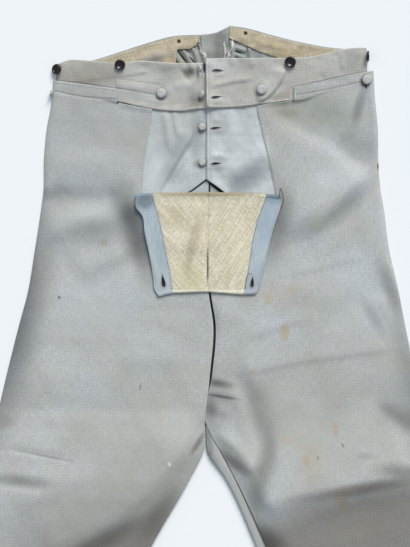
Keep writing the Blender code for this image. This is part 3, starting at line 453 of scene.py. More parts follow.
bearerStainsAndShade = (
    # painted shade beside the fly, below the folds, round the buttonholes and under the fly buttons; and
    # some lighter patches
    (-12, 440, 7, 34, 0, "#80868a", 0.45, 0.7), (-44, 452, 22, 18, 0, "#a5a8a0", 0.4, 0.7),
    (-44, 420, 16, 14, 0, "#a3a8a9", 0.4, 0.8), (-62, 386, 14, 24, 0, "#dbe3e8", 0.45, 0.8),
    (34, 428, 18, 24, 0, "#d6dde2", 0.25, 0.9), (17, 394.4, 9, 4.6, 0, "#7d8183", 0.45, 0.7),
    (20, 406.4, 8, 4, 0, "#84898b", 0.4, 0.7), (17, 441.2, 9, 4.4, 0, "#83888a", 0.45, 0.7),
    (-40, 408, 8, 36, -30, "#7c8386", 0.42, 0.8), (-34, 405, 2.6, 36, -31, "#6c7274", 0.5, 0.9),
    (-3.6, 447, 6.8, 6.4, 0, "#5f5f5c", 0.6, 0.5), (-5, 400.6, 8.4, 6, 0, "#5f5f5c", 0.6, 0.5),
    (54, 382, 22, 14, 34, "#6a757f", 0.5, 0.6), (18, 455, 12, 12, 0, "#9ca09f", 0.4, 0.7),
)
backStainsAndShade = (
    # painted shadow in the deep gap between the legs, in the V below the bearers and under the fly's
    # buttonholes; a paler patch inside the V, and a darker patch at the waist
    (8, 190, 7, 140, 0, "#2a2a2c", 0.97, 0.3), (4, 364, 24, 14, 0, "#c0c9cf", 0.75, 0.3),
    (5.8, 368, 1.2, 14, 0, "#101011", 0.97, 0.2), (17, 368, 17, 2.4, -36, "#101011", 0.97, 0.2),
    (-9, 371.4, 16, 1.2, 36, "#101011", 0.9, 0.2), (18, 447, 7, 3, 7, "#1d1d1f", 0.96, 0.25),
    (18, 400.7, 7, 3, 7, "#1d1d1f", 0.96, 0.25), (18, 487, 8, 4, 7, "#1d1d1f", 0.96, 0.25),
    (18, 521, 8, 4, 0, "#1d1d1f", 0.96, 0.25), (-20, 530, 26, 16, 0, "#9a968c", 0.4, 0.6),
    # painted shade in the deep slits between the gathers
    (-29, 538.8, 9, 1.3, -52, "#141414", 0.97, 0.12), (-16.6, 535.4, 5.6, 1.1, -46, "#141414", 0.97, 0.12),
    (-8.2, 551.2, 3.8, 0.8, -66, "#1c1b1a", 0.9, 0.12), (43, 545.6, 4.6, 1.1, -17, "#141414", 0.97, 0.12),
    (54.6, 548.8, 3.6, 0.7, 84, "#2a2927", 0.9, 0.12), (41, 560.4, 2.2, 1.1, -20, "#2a2927", 0.9, 0.12),
    (36, 552, 2, 1.4, 0, "#3a3836", 0.8, 0.2),
)
gussetShadeAndTone = (
    # painted shade in the hollows of the gusset, and one paler patch
    (20, 552, 7, 26, 4, "#6f7370", 0.6, 0.6), (10, 540, 22, 7, 0, "#70736e", 0.5, 0.6),
    (2, 560, 6, 12, 0, "#a9adab", 0.4, 0.6),
)
# painted shade: what lies under the buttonholes, and the slot at the top of the fly, is painted dark for the
# shade in them
shadeUnderFly = (
    (14, 521, 8, 3.2, 0, "#1d1d1f", 0.96, 0.25), (13, 486.6, 8, 3, 8, "#1d1d1f", 0.96, 0.25),
    (13, 446.8, 8, 3, 7, "#1d1d1f", 0.96, 0.25), (13, 400.7, 8, 3, 7, "#1d1d1f", 0.96, 0.25),
    (-1, 526, 1.6, 8, 0, "#1d1d1f", 0.9, 0.2),
)
# the turned-up cloth along the right inseam shows its faded face
inseamFace = (
    (52, -46, 15, 110, 22.5, "#aeb3b4", 0.95, 0.2), (100, -230, 16, 120, 19, "#aeb3b4", 0.95, 0.2),
)
facingStainsAndShade = (
    # painted shade along the top of the fold and at its corners; the rest are lighter and bluer patches
    (-78, 351, 12, 9, 0, "#64747f", 0.7, 0.35), (90, 353, 14, 6, 0, "#7f97aa", 0.5, 0.5),
    (-52, 241, 18, 14, 0, "#b6bcbf", 0.7, 0.3), (60, 243, 13, 14, 0, "#a8afba", 0.75, 0.25),
    (80, 320, 14, 26, 0, "#a0b9cb", 0.4, 0.7), (0, 364.4, 124, 7, 0, "#4f6070", 0.76, 0.25),
    (92, 361, 16, 6.6, -6, "#4f6070", 0.76, 0.25), (-62, 262, 9, 26, 8, "#9fadb2", 0.4, 0.7),
)
fallLinenStainsAndShade = (
    # the first is painted shade along the top of the fold; then a pale line along the lower edge, stains and
    # the dark centre seam
    (3, 365.4, 124, 7, 0, "#7d7359", 0.78, 0.25), (4, 235.4, 60, 1.5, 0, "#f4f2e2", 0.7, 0.3),
    (-14, 300, 6, 34, -14, "#9c8a6c", 0.4, 0.6), (-42, 330, 16, 12, 0, "#bfae92", 0.25, 0.6),
    (-20, 254, 18, 16, 0, "#c9c79c", 0.3, 0.6), (3.5, 268, 1.2, 22, 0, "#4f4638", 0.8, 0.25),
)
bandLinenStainsAndShade = (
    # the first is painted shade in the fold between the two layers of linen; the rest are tan stains
    (-62, 540, 24, 6, 14, "#a39e96", 0.85, 0.35), (-50, 526, 20, 8, 0, "#b49a76", 0.3, 0.5),
    (100, 548, 24, 8, -20, "#b99b72", 0.15, 0.5),
)
cloths = {}
for key, name, finish, stainsAndShade in (
    ("legLeft", "grey cloth, plain woven, left leg", greyCloth, leftStainsAndShade),
    ("legRight", "grey cloth, plain woven, right leg", greyCloth, rightStainsAndShade),
    ("bandLeft", "grey cloth, handled, with painted shade, left", bandCloth, bandStainsAndShade + shadeUnderFly),
    ("bandRight", "grey cloth, handled, right", bandCloth, bandStainsAndShade),
    ("bearerLeft", "grey cloth, less faded, left", bearerCloth, bearerStainsAndShade + shadeUnderFly),
    ("bearerRight", "grey cloth, less faded, right", bearerCloth, bearerStainsAndShade),
    ("backLeft", "grey cloth, wrong side, left", backCloth, backStainsAndShade),
    ("backRight", "grey cloth, wrong side, right", backCloth, backStainsAndShade + inseamFace),
    ("back", "grey cloth, behind the linen", backCloth, ()),
    ("gusset", "grey cloth, lacing gusset", backCloth, gussetShadeAndTone),
    ("facing", "blue cloth, unfaded", blueFacing, facingStainsAndShade),
    ("linenLeft", "unbleached linen, on the left bias", linenLeft, fallLinenStainsAndShade),
    ("linenRight", "unbleached linen, on the right bias", linenRight, fallLinenStainsAndShade),
    ("linenBand", "tan linen, coarse woven", linenBand, bandLinenStainsAndShade),
    ("button", "grey cloth over a mould", buttonCloth, ()),
):
    cloths[key] = wovenCloth(name, finish, stainsAndShade)
# Waxed linen thread, hand twisted: matt, a little uneven in tone
threads = {}
for key, name, tone, shade in (
    ("blue", "blue grey", "#ccd5dc", "#b4bfc8"), ("grey", "grey", "#b4babd", "#8e9598"),
    ("dark", "soiled", "#5a564f", "#34312d"), ("pale", "undyed", "#f0f0ea", "#d2d2cc"),
    ("brown", "rusted", "#6a5440", "#3c2f24"),
):
    threads[key] = mottled("linen thread, " + name, shade, tone, 6, 2, {"Roughness": 0.75})
# Horn, pressed and polished: near black, with a soft gloss and brown streaks
horn = mottled("horn, pressed and polished", "#060505", "#1a1512", 5, 3, {"Roughness": 0.28, "IOR": 1.54})
print("materials made")

legs = {
    "spacing": 2.6,  # between points where the photograph shows the leg
    "fineSpacing": 1.3, "lowSpacing": 7, "shownTo": -130,
    "thick": 0.8, "gap": 0.45, "floorGap": 0.05,
    "weight": 0.03, "rounds": 40,  # how far the cloth sinks over what is under it
    "swells": ((150, 0.8), (60, 0.5), (24, 0.14), (10, 0.05)),
    "rollIn": (0, 0.8, 2.2, 4.4, 7.4, 11, 14.5),
    # along the leg: Y, width of the rolled outer edge, its height
    "outerRoll": (
        (-580, 42, 9), (-97, 54, 12.5), (60, 52, 12.5), (150, 46, 11.5), (300, 32, 8.6),
        (400, 17, 6), (530, 9, 4.4),
    ),
    "slitSection": 6, "bandSection": 2, "fallBase": 344,
    "pressedBeside": 16,  # the cloth lies flat this far from the slit
    "pressedBelow": 15,  # and this far from the pocket mouth
    "mouthFrom": 440, "mouthShare": 0.85,
    "pressedOver": 16, "pressedFrom": 6, "edgeKept": 3, "linesOver": 4,
    "slitCloser": 0.8,  # share of the gap that is left out beside the slit
    "evened": 2,  # rounds of evening out, after all is laid
}
leftLeg = {
    "node": "front_left", "seed": 4, "hemLevel": True, "tabShare": 0.648,
    "topEdge": ((-113, 479.6), (-108.2, 478.6), (-86.2, 473.6), (-68, 470.8)),
    # outseam, slit, centre seam or inseam, and the seam's height, from the top down
    "sections": (
        (-196.8, 508.3, -68.9, 491, 5.2, 470, 3), (-198.1, 494, -68.9, 480, 5.2, 460, 3),
        (-198.6, 484.9, -68.9, 470, 5.2, 450, 3), (-205.4, 444.6, -73.1, 440.1, 5.2, 430, 3),
        (-208.9, 405.6, -79.2, 405.2, 5.2, 400, 3), (-209.6, 364, -82.4, 364, 5.2, 362, 3),
        (-211.9, 346.3, -83.5, 346.3, 5.2, 346.3, 3), (-220.3, 291.2, -91, 291.2, 4.8, 291.2, 1.6),
        (-230.1, 232.7, -100.7, 232.7, 4.6, 232.7, 1.4), (-241.2, 191.1, -106.6, 191.1, 10.3, 191.1, 1.4),
        (-257.5, 126.1, -113.1, 126.1, 6, 126.1, 1.8), (-272, 65, -119.6, 65, -0.4, 65, 1.8),
        (-280.8, 31.6, -125.5, 31.6, -1.2, 31.6, 0.6), (-290.6, -3.9, -138.6, -4.5, -18.9, -5.2, 0.6),
        (-316.6, -97.5, -178.3, -97.5, -71, -97.5, 0.6), (-430, -521.3, -322.3, -554, -235.3, -579.8, 0.6),
    ),
    "seamRoll": (
        (-580, 34, 8.5), (-97, 74, 13), (-30, 56, 12), (30, 34, 9), (80, 9, 5.4),
        (230, 6, 5.2), (530, 6, 4.4),
    ),
    "folds": (
        (((-214, 364), (-160, 354), (-104, 356)), 13, 20, -3.6, 0.2),
        (((-205, 408), (-160, 400), (-108, 404)), 22, 16, 2),
        (((-226, 300), (-170, 322), (-116, 334)), 16, 14, 2.4),
        (((-178, 258), (-128, 276), (-84, 302)), 22, 15, 3.6),
        (((-108, 350), (-100, 306), (-84, 256)), 11, 12, -3.4),
        (((-120, 160), (-76, 150), (-20, 158)), 32, 20, 2.4),
        (((-62, 208), (-34, 190), (-8, 176)), 14, 12, 1),
        (((-300, 30), (-240, 27.3), (-219, 24.7), (-195, 20.8), (-174, 15.6)), 4, 1.6, -1.5, 0.1),
        (((-310, -14), (-240, -18.5), (-204, -23)), 10, 3, -1, 0.12),
        (((-20, 20), (-10, 36), (4, 54)), 4, 4, -1.6),
        (((-240, -112), (-180, -80), (-120, -50), (-60, -12), (8, 60)), 54, 24, 8, 0.2),
        (((-290, 100), (-188, 106), (-80, 90)), 40, 26, 1.6),
        (((-240, 64), (-180, 70), (-120, 56)), 18, 12, 1),
        (((-262, -52), (-200, -22), (-130, 6)), 24, 14, 2.2),
        (((-360, -170), (-270, -150), (-170, -190)), 40, 24, 4),
        (((-330, -260), (-250, -275), (-190, -250)), 30, 20, 3.2),
        (((-400, -350), (-320, -330), (-230, -380)), 36, 26, 4.2),
        (((-410, -450), (-330, -470), (-250, -455)), 26, 18, 2.6),
    ),
    "lines": (
        (((-197, 494.6), (-162.5, 487.5), (-113.6, 483.4)), 0.9, 0.9, -0.8, 0.02),
        (((-112, 496), (-109.7, 481)), 0.9, 0.9, -0.6, 0.05),
    ),
}
rightLeg = {
    "node": "front_right", "seed": 6, "hemLevel": False, "tabShare": 0.69,
    "topEdge": ((67, 475.2), (84, 478.6), (109, 481.6), (126, 483.8)),
    "sections": (
        (218.7, 521.3, 68.2, 489, 6, 470, 3), (219.4, 507, 68, 481, 6, 460, 3),
        (220, 495.3, 67.9, 473.2, 6, 450, 3), (224.4, 444.6, 74.4, 443.3, 6, 430, 3),
        (224.9, 405.6, 82.8, 408.2, 6, 400, 3), (228.2, 364, 91.3, 364, 6, 362, 3),
        (231.4, 346.3, 93.3, 346.3, 6, 346.3, 3), (238.8, 291.2, 101.4, 291.2, 6.6, 291.2, 1.6),
        (251.6, 232.7, 110.5, 232.7, 7.8, 232.7, 1.4), (259.7, 191.1, 115.7, 191.1, 14, 191.1, 1.4),
        (273, 126.1, 122.2, 126.1, 9.4, 126.1, 1.8), (285.4, 65, 128.7, 65, 0.9, 65, 2.2),
        (288.5, 47.5, 132.5, 46.5, 9.6, 45.9, 4.3), (291.9, 31.6, 138.5, 31.6, 18.2, 31.6, 4.5),
        (299.7, -3.9, 150.9, -4.5, 38.2, -5.2, 4.5), (317.9, -97.5, 186.7, -97.5, 80.3, -97.5, 4.5),
        (430, -521.3, 328.5, -552.5, 247.7, -576.4, 4.5),
    ),
    "seamRoll": (
        (-580, 24, 8.5), (-97, 40, 11), (0, 30, 8.5), (60, 16, 6.6), (100, 8, 5.6),
        (230, 6, 5.2), (530, 6, 4.4),
    ),
    "folds": (
        (((60, 488), (124, 452), (182, 419), (236, 352)), 34, 13, -3),
        (((206, 506), (211, 460), (203, 400)), 9, 15, -3.4),
        (((190, 500), (196, 462), (184, 420)), 9, 8, 1.4),
        (((108, 296), (150, 334), (196, 380), (224, 404)), 34, 14, 4.2),
        (((92, 252), (162, 269), (212, 280)), 9, 2.6, 0.8),
        (((222, 236), (236, 212), (268, 184)), 16, 13, 2.6),
        (((10, 122), (74, 133), (94, 138), (182, 152), (292, 166)), 12, 2.6, 1),
        (((-2, 124), (40, 112)), 8, 4, 1.6, 0.15), (((-2, 106), (44, 98)), 7, 3, 2, 0.15),
        (((-2, 90), (32, 74)), 7, 4, 1.4, 0.15), (((36, 122), (52, 66), (58, 18)), 13, 10, 2),
        (((54, 126), (72, 82), (80, 35), (79, 6), (68, -44)), 12, 10, -4.8),
        (((12, 50), (42, 30), (70, -2)), 12, 8, 3, 0.2),
        (((20, -66), (54, -44), (101, -28), (166, -18), (214, -8), (330, 18)), 58, 24, 9, 0.15),
        (((222, 102), (250, 80), (290, 52)), 15, 9, 2.8), (((40, 166), (90, 188), (150, 204)), 12, 5, 1),
        (((24, 240), (38, 172), (56, 106)), 22, 16, 1.8), (((60, 226), (120, 240), (200, 220)), 26, 20, 1.4),
        (((120, -150), (220, -120), (330, -140)), 40, 26, 3),
        (((170, -230), (270, -250), (360, -220)), 34, 24, 4),
        (((210, -340), (300, -320), (390, -350)), 36, 24, 3.6),
        (((240, -460), (330, -440), (420, -470)), 30, 20, 3),
    ),
    "lines": (
        (((117, 488.4), (162, 497), (206, 506.6)), 0.9, 0.9, -0.5, 0.02),
        (((118.4, 497.6), (117, 484.4)), 0.8, 0.8, -0.6, 0.05),
        (((126, 489), (125, 479)), 0.9, 0.9, -0.7, 0.1),
    ),
}


def along(table, y):
    rows = np.array(table)
    return [np.interp(y, rows[:, 0], rows[:, k]) for k in (1, 2)]


def legFront(name, leg, material):
    table = leg["sections"]
    steps = []
    for k, (upper, lower) in enumerate(zip(table, table[1:])):
        spacing = legs["spacing"] if lower[1] > legs["shownTo"] else legs["lowSpacing"]
        spacing = legs["fineSpacing"] if k < legs["bandSection"] else spacing
        steps.append(max(1, round((upper[1] - lower[1]) / spacing)))
    rows = curveThrough(table, steps)
    outer, slit, seam, seamZ = rows[:, 0:2], rows[:, 2:4], rows[:, 4:6], rows[:, 6:7]
    outerWidth = np.linalg.norm(slit - outer, axis=1)[:, None]
    innerWidth = np.linalg.norm(seam - slit, axis=1)[:, None]
    mean, meanInner = outerWidth.mean(), innerWidth.mean()
    near = np.array(legs["rollIn"]) / mean
    tabAt = leg["tabShare"]
    toTab = np.linspace(near[-1], tabAt, int((tabAt - near[-1]) * mean / legs["spacing"]) + 2)[1:]
    toSlit = np.linspace(tabAt, 1, int((1 - tabAt) * mean / legs["spacing"]) + 2)[1:]
    outerShare = np.concatenate((near, toTab, toSlit))
    nearSeam = 1 - np.array(legs["rollIn"])[::-1] / meanInner
    toSeam = np.linspace(0, nearSeam[0], int(meanInner * nearSeam[0] / legs["spacing"]) + 2)[1:-1]
    innerShare = np.concatenate((toSeam, nearSeam))
    plan = np.hstack((between(outer, slit, outerShare), between(slit, seam, innerShare)))
    fromOuter = np.hstack((outerWidth * outerShare, outerWidth + innerWidth * innerShare))
    fromSeam = outerWidth + innerWidth - fromOuter
    keep = everyFace(plan)
    slitRow, bandRow = sum(steps[:legs["slitSection"]]), sum(steps[:legs["bandSection"]])
    slitColumn, tabColumn = len(outerShare) - 1, len(near) + len(toTab) - 1
    keep[:slitRow, slitColumn:] = False
    keep[:bandRow, tabColumn:] = False

    # below the waistband the upper edge follows the band
    beside = slice(tabColumn + 1, slitColumn + 1)
    rise = np.interp(plan[bandRow, beside, 0], *np.array(leg["topEdge"]).T) - plan[bandRow, beside, 1]
    below = plan[bandRow, beside, 1] - plan[bandRow:, beside, 1]
    plan[bandRow:, beside, 1] += rise * np.clip(1 - below / legs["pressedBelow"], 0, 1)
    x, y = plan[..., 0], plan[..., 1]
    outerRoll, outerTop = along(legs["outerRoll"], y)
    seamRoll, seamTop = along(leg["seamRoll"], y)
    floorAt = legs["thick"] / 2 + legs["floorGap"]
    fromSide = floorAt + (outerTop - floorAt) * rounded(fromOuter / outerRoll)
    fromMiddle = seamZ + (seamTop - seamZ) * rounded(fromSeam / seamRoll)
    blend = smoothStep(fromOuter / (fromOuter + fromSeam) * 1.6 - 0.3)
    form = np.minimum(fromSide, fromMiddle)
    form = np.minimum(form, outerTop * (1 - blend) + seamTop * blend)
    relief = foldHeight(leg["folds"], x, y) + uneven(x, y, leg["seed"], legs["swells"])
    under = heightBelow(x, y)
    least = np.where(under < 0.01, 0, averaged(under) + legs["gap"] + legs["thick"] / 2)
    least[:slitRow, slitColumn - 1:slitColumn + 1] -= legs["gap"] * legs["slitCloser"]
    least[:, 0] = 0
    if leg["hemLevel"]:
        least[-1] = least[-2]
    height = settled(np.maximum(least, form), form, legs["weight"], legs["rounds"])
    height = np.where(fromOuter < legs["edgeKept"], np.maximum(form, least), height)
    fade = smoothStep(np.minimum(fromOuter / outerRoll, fromSeam / seamRoll))
    height = np.maximum(height + relief * fade, np.maximum(least, floorAt))

    # beside the slit and below the pocket mouth the cloth is held flat by its seams
    columns = np.arange(x.shape[1])
    belowTop = np.maximum(y[np.where(columns > tabColumn, bandRow, 0), columns] - y, 0)
    besideSlit = np.abs(columns - slitColumn)[None, :] * legs["spacing"]
    pressed = smoothStep((y - legs["fallBase"]) / legs["pressedOver"])
    pressed = pressed * (1 - smoothStep(besideSlit / legs["pressedBeside"]))
    mouth = (1 - smoothStep(belowTop / legs["pressedBelow"])) * (y > legs["mouthFrom"]) * legs["mouthShare"]
    pressed = np.maximum(pressed, mouth)
    flat = np.maximum(least, floorAt)
    height = np.where(fromOuter > legs["pressedFrom"], flat + (height - flat) * (1 - pressed), height)
    for _ in range(legs["evened"]):
        height = np.maximum(least, height * 0.5 + averaged(height) * 0.5)
    height += foldHeight(leg["lines"], x, y) * smoothStep(fromOuter / legs["linesOver"])
    height[:, 0] = floorAt
    points = np.dstack((plan, height))
    layCloth(name, leg["node"], points, legs["thick"], material, keep)


backs = {
    "thick": 0.7, "inset": 1.6, "floorGap": 0.02,
    "spacings": ((480, 1.6), (-130, 8), (-600, 12)),  # above this Y, between rows
    "seatShare": 0.62, "columns": (22, 46),  # fewer columns beside the outseam
    "seed": 31, "swells": ((90, 0.5), (30, 0.25)), "swellsFrom": 300, "swellsOver": 300,
    "wrapRadius": 1.6, "wrapTurn": (30, 60, 90, 120, 150, 180),
    "wrapLift": 1.25, "wrapRise": 0.3, "wrapOver": 6,
}
leftBack = {
    "node": "back_left",
    # outseam, then centre seam or inseam, from the waist down
    "sections": (
        (-190.4, 492, -6.4, 557.6), (-194.5, 478, -2.8, 541.2),
        (-198.6, 462.8, -1.4, 516.1), (-203.8, 443.6, 3.2, 487.5),
        (-208.9, 405.6, 5.2, 430), (-209.6, 364, 5.2, 374),
        (-211.9, 346.3, 5.2, 350), (-220.3, 291.2, 5.2, 291.2),
        (-230.1, 232.7, 5.75, 232.7), (-241.2, 191.1, 11.75, 191.1),
        (-257.5, 126.1, 7.35, 126.1), (-272, 65, 0, 65),
        (-280.8, 31.6, -2.6, 31.6), (-290.6, -3.9, -20.5, -5.2),
        (-316.6, -97.5, -72.6, -97.5), (-430, -521.3, -236.9, -579.8),
    ),
    "wrap": (),
    # gathers below the linen, at both sides of the lacing gusset
    "folds": (
        (((-44, 552), (-36, 538), (-24, 520)), 3.2, 3.2, 4, 0.2),
        (((-31, 552), (-22, 538), (-13, 520)), 2.6, 3, 4.4, 0.2),
        (((-19, 556), (-12, 542), (-7, 522)), 2.4, 2.4, 4, 0.2),
        (((-9, 560), (-4, 548), (-3, 526)), 2, 2.2, 3, 0.2),
        (((-62, 548), (-54, 534), (-44, 516)), 5, 5, 2.6),
    ),
}
rightBack = {
    "node": "back_right",
    "sections": (
        (210.9, 500, 25.6, 569.6), (213.5, 486, 23.6, 541.8), (219.4, 472, 19, 518), (222.8, 454, 9, 487.5),
        (224.9, 405.6, 6, 430), (228.2, 364, 6, 374), (231.4, 346.3, 6, 350), (238.8, 291.2, 6, 291.2),
        (251.6, 232.7, 6.5, 232.7), (259.7, 191.1, 12.5, 191.1),
        (273, 126.1, 8.1, 126.1), (285.4, 65, 1.2, 65), (288.5, 47.5, 1.7, 45.5), (291.9, 31.6, 2.6, 28.6),
        (299.7, -3.9, 24.7, -4.5), (317.9, -97.5, 67.5, -97.5), (430, -521.3, 235.3, -579.8),
    ),
    # where the cloth that turns up round the inseam ends on top of the leg
    "wrap": (
        (65, 7, 65), (45.5, 8.9, 45.9), (28.6, 17.4, 31.6),
        (-4.5, 37.4, -5.2), (-97.5, 79.6, -97.5), (-579.8, 247, -576.4),
    ),
    "folds": (
        (((33, 564), (36, 548), (35, 526)), 2.4, 2.4, 3.6, 0.2),
        (((38, 552), (46, 549), (54, 546)), 2.2, 2.4, 3.6, 0.2),
        (((38, 543), (46, 539), (53, 537)), 3, 2.2, 3.8, 0.2),
        (((57, 554), (59, 542), (62, 524)), 3, 4, 3, 0.2), (((74, 548), (76, 538), (80, 524)), 5, 5, 1.8),
    ),
}


def legBack(name, leg, frontLeg, material):
    table = leg["sections"]
    steps = []
    for upper, lower in zip(table, table[1:]):
        spacing = next(gap for level, gap in backs["spacings"] if lower[3] > level)
        steps.append(max(1, round((upper[3] - lower[3]) / spacing)))
    rows = curveThrough(table, steps)
    outer, inner = rows[:, 0:2], rows[:, 2:4]
    front = [row[:2] for row in frontLeg["sections"]]
    front = curveThrough(front, [20] * (len(front) - 1))
    low = sum(steps[:3])
    outer[low:, 0] = np.interp(-outer[low:, 1], -front[:, 1], front[:, 0])
    step = inner - outer
    step = step / np.linalg.norm(step, axis=1, keepdims=True)
    end = inner
    if leg["wrap"]:
        wrap = np.array(leg["wrap"])
        end = inner - step * np.where(inner[:, 1:] > wrap[0, 0] + backs["wrapOver"], 0, backs["wrapRadius"])
    few, many = backs["columns"]
    share = np.linspace(0, backs["seatShare"], few), np.linspace(backs["seatShare"], 1, many)[1:]
    plan = between(outer + step * backs["inset"], end, np.concatenate(share))
    x, y = plan[..., 0], plan[..., 1]
    swell = np.maximum(uneven(x, y, backs["seed"], backs["swells"]), 0)
    fade = smoothStep((y - backs["swellsFrom"]) / backs["swellsOver"])
    lifted = foldHeight(leg["folds"], x, y) + swell * fade
    height = backs["thick"] / 2 + backs["floorGap"] + np.maximum(lifted, 0)
    keep = everyFace(plan)
    if leg["wrap"]:
        # the wrapped part: round the inseam, then flat on top of the leg
        last = np.stack([np.interp(-end[:, 1], -wrap[:, 0], wrap[:, k]) for k in (1, 2)], 1)
        more, moreHeight = [], []
        for turn in backs["wrapTurn"]:
            angle = math.radians(turn)
            more.append(end + step * backs["wrapRadius"] * math.sin(angle))
            rise = backs["wrapRadius"] * backs["wrapLift"] * (1 - math.cos(angle))
            moreHeight.append(height[:, -1] + rise)
        topOfTurn = moreHeight[-1]
        for part in (0.5, 1):
            more.append(end + (last - end) * part)
            moreHeight.append(topOfTurn + backs["wrapRise"] * part)
        plan = np.hstack((plan, np.stack(more, 1)))
        height = np.hstack((height, np.stack(moreHeight, 1)))
        wide = np.zeros((len(plan) - 1, len(more)), bool)
        wide[int(np.argmin(np.abs(end[:, 1] - wrap[0, 0]))):] = True
        keep = np.hstack((keep, wide))
    points = np.dstack((plan, height))
    layCloth(name, leg["node"], points, backs["thick"], material, keep)


def strip(node, piece, seed):
    # a piece between an upper and a lower edge, which lies on what is under it
    columns = np.array(piece["columns"], float)
    gaps = np.linalg.norm(np.diff(columns[:, :2], axis=0), axis=1)
    steps = [max(1, round(gap / piece["spacing"])) for gap in gaps]
    ends = curveThrough(columns, steps, piece.get("straight", False))
    deep = np.linalg.norm(ends[:, 2:] - ends[:, :2], axis=1).mean()
    share = np.linspace(0, 1, max(3, round(deep / piece["spacing"])))[:, None, None]
    plan = ends[None, :, :2] + (ends[None, :, 2:] - ends[None, :, :2]) * share
    x, y = plan[..., 0], plan[..., 1]
    least = averaged(heightBelow(x, y)) + piece["gap"] + piece["thick"] / 2
    height = settled(least, np.full_like(x, piece["bed"]), stripSinks["weight"], stripSinks["rounds"])
    relief = foldHeight(piece["folds"], x, y) + uneven(x, y, seed, piece["swells"])
    height = np.maximum(height + relief, least)
    if "rolled" in piece:
        distance = np.linalg.norm(plan - plan[:, piece["rolled"]][:, None], axis=2)
        drop = rounded(distance / piece["rollWidth"])
        height = np.minimum(height, np.maximum(piece["thick"] / 2, height * drop))
    height = height * 0.6 + averaged(height) * 0.4 + foldHeight(piece.get("lines", ()), x, y)
    points, material = np.dstack((plan, height)), cloths[piece["cloth"]]
    layCloth(node + "_cloth", node, points, piece["thick"], material)


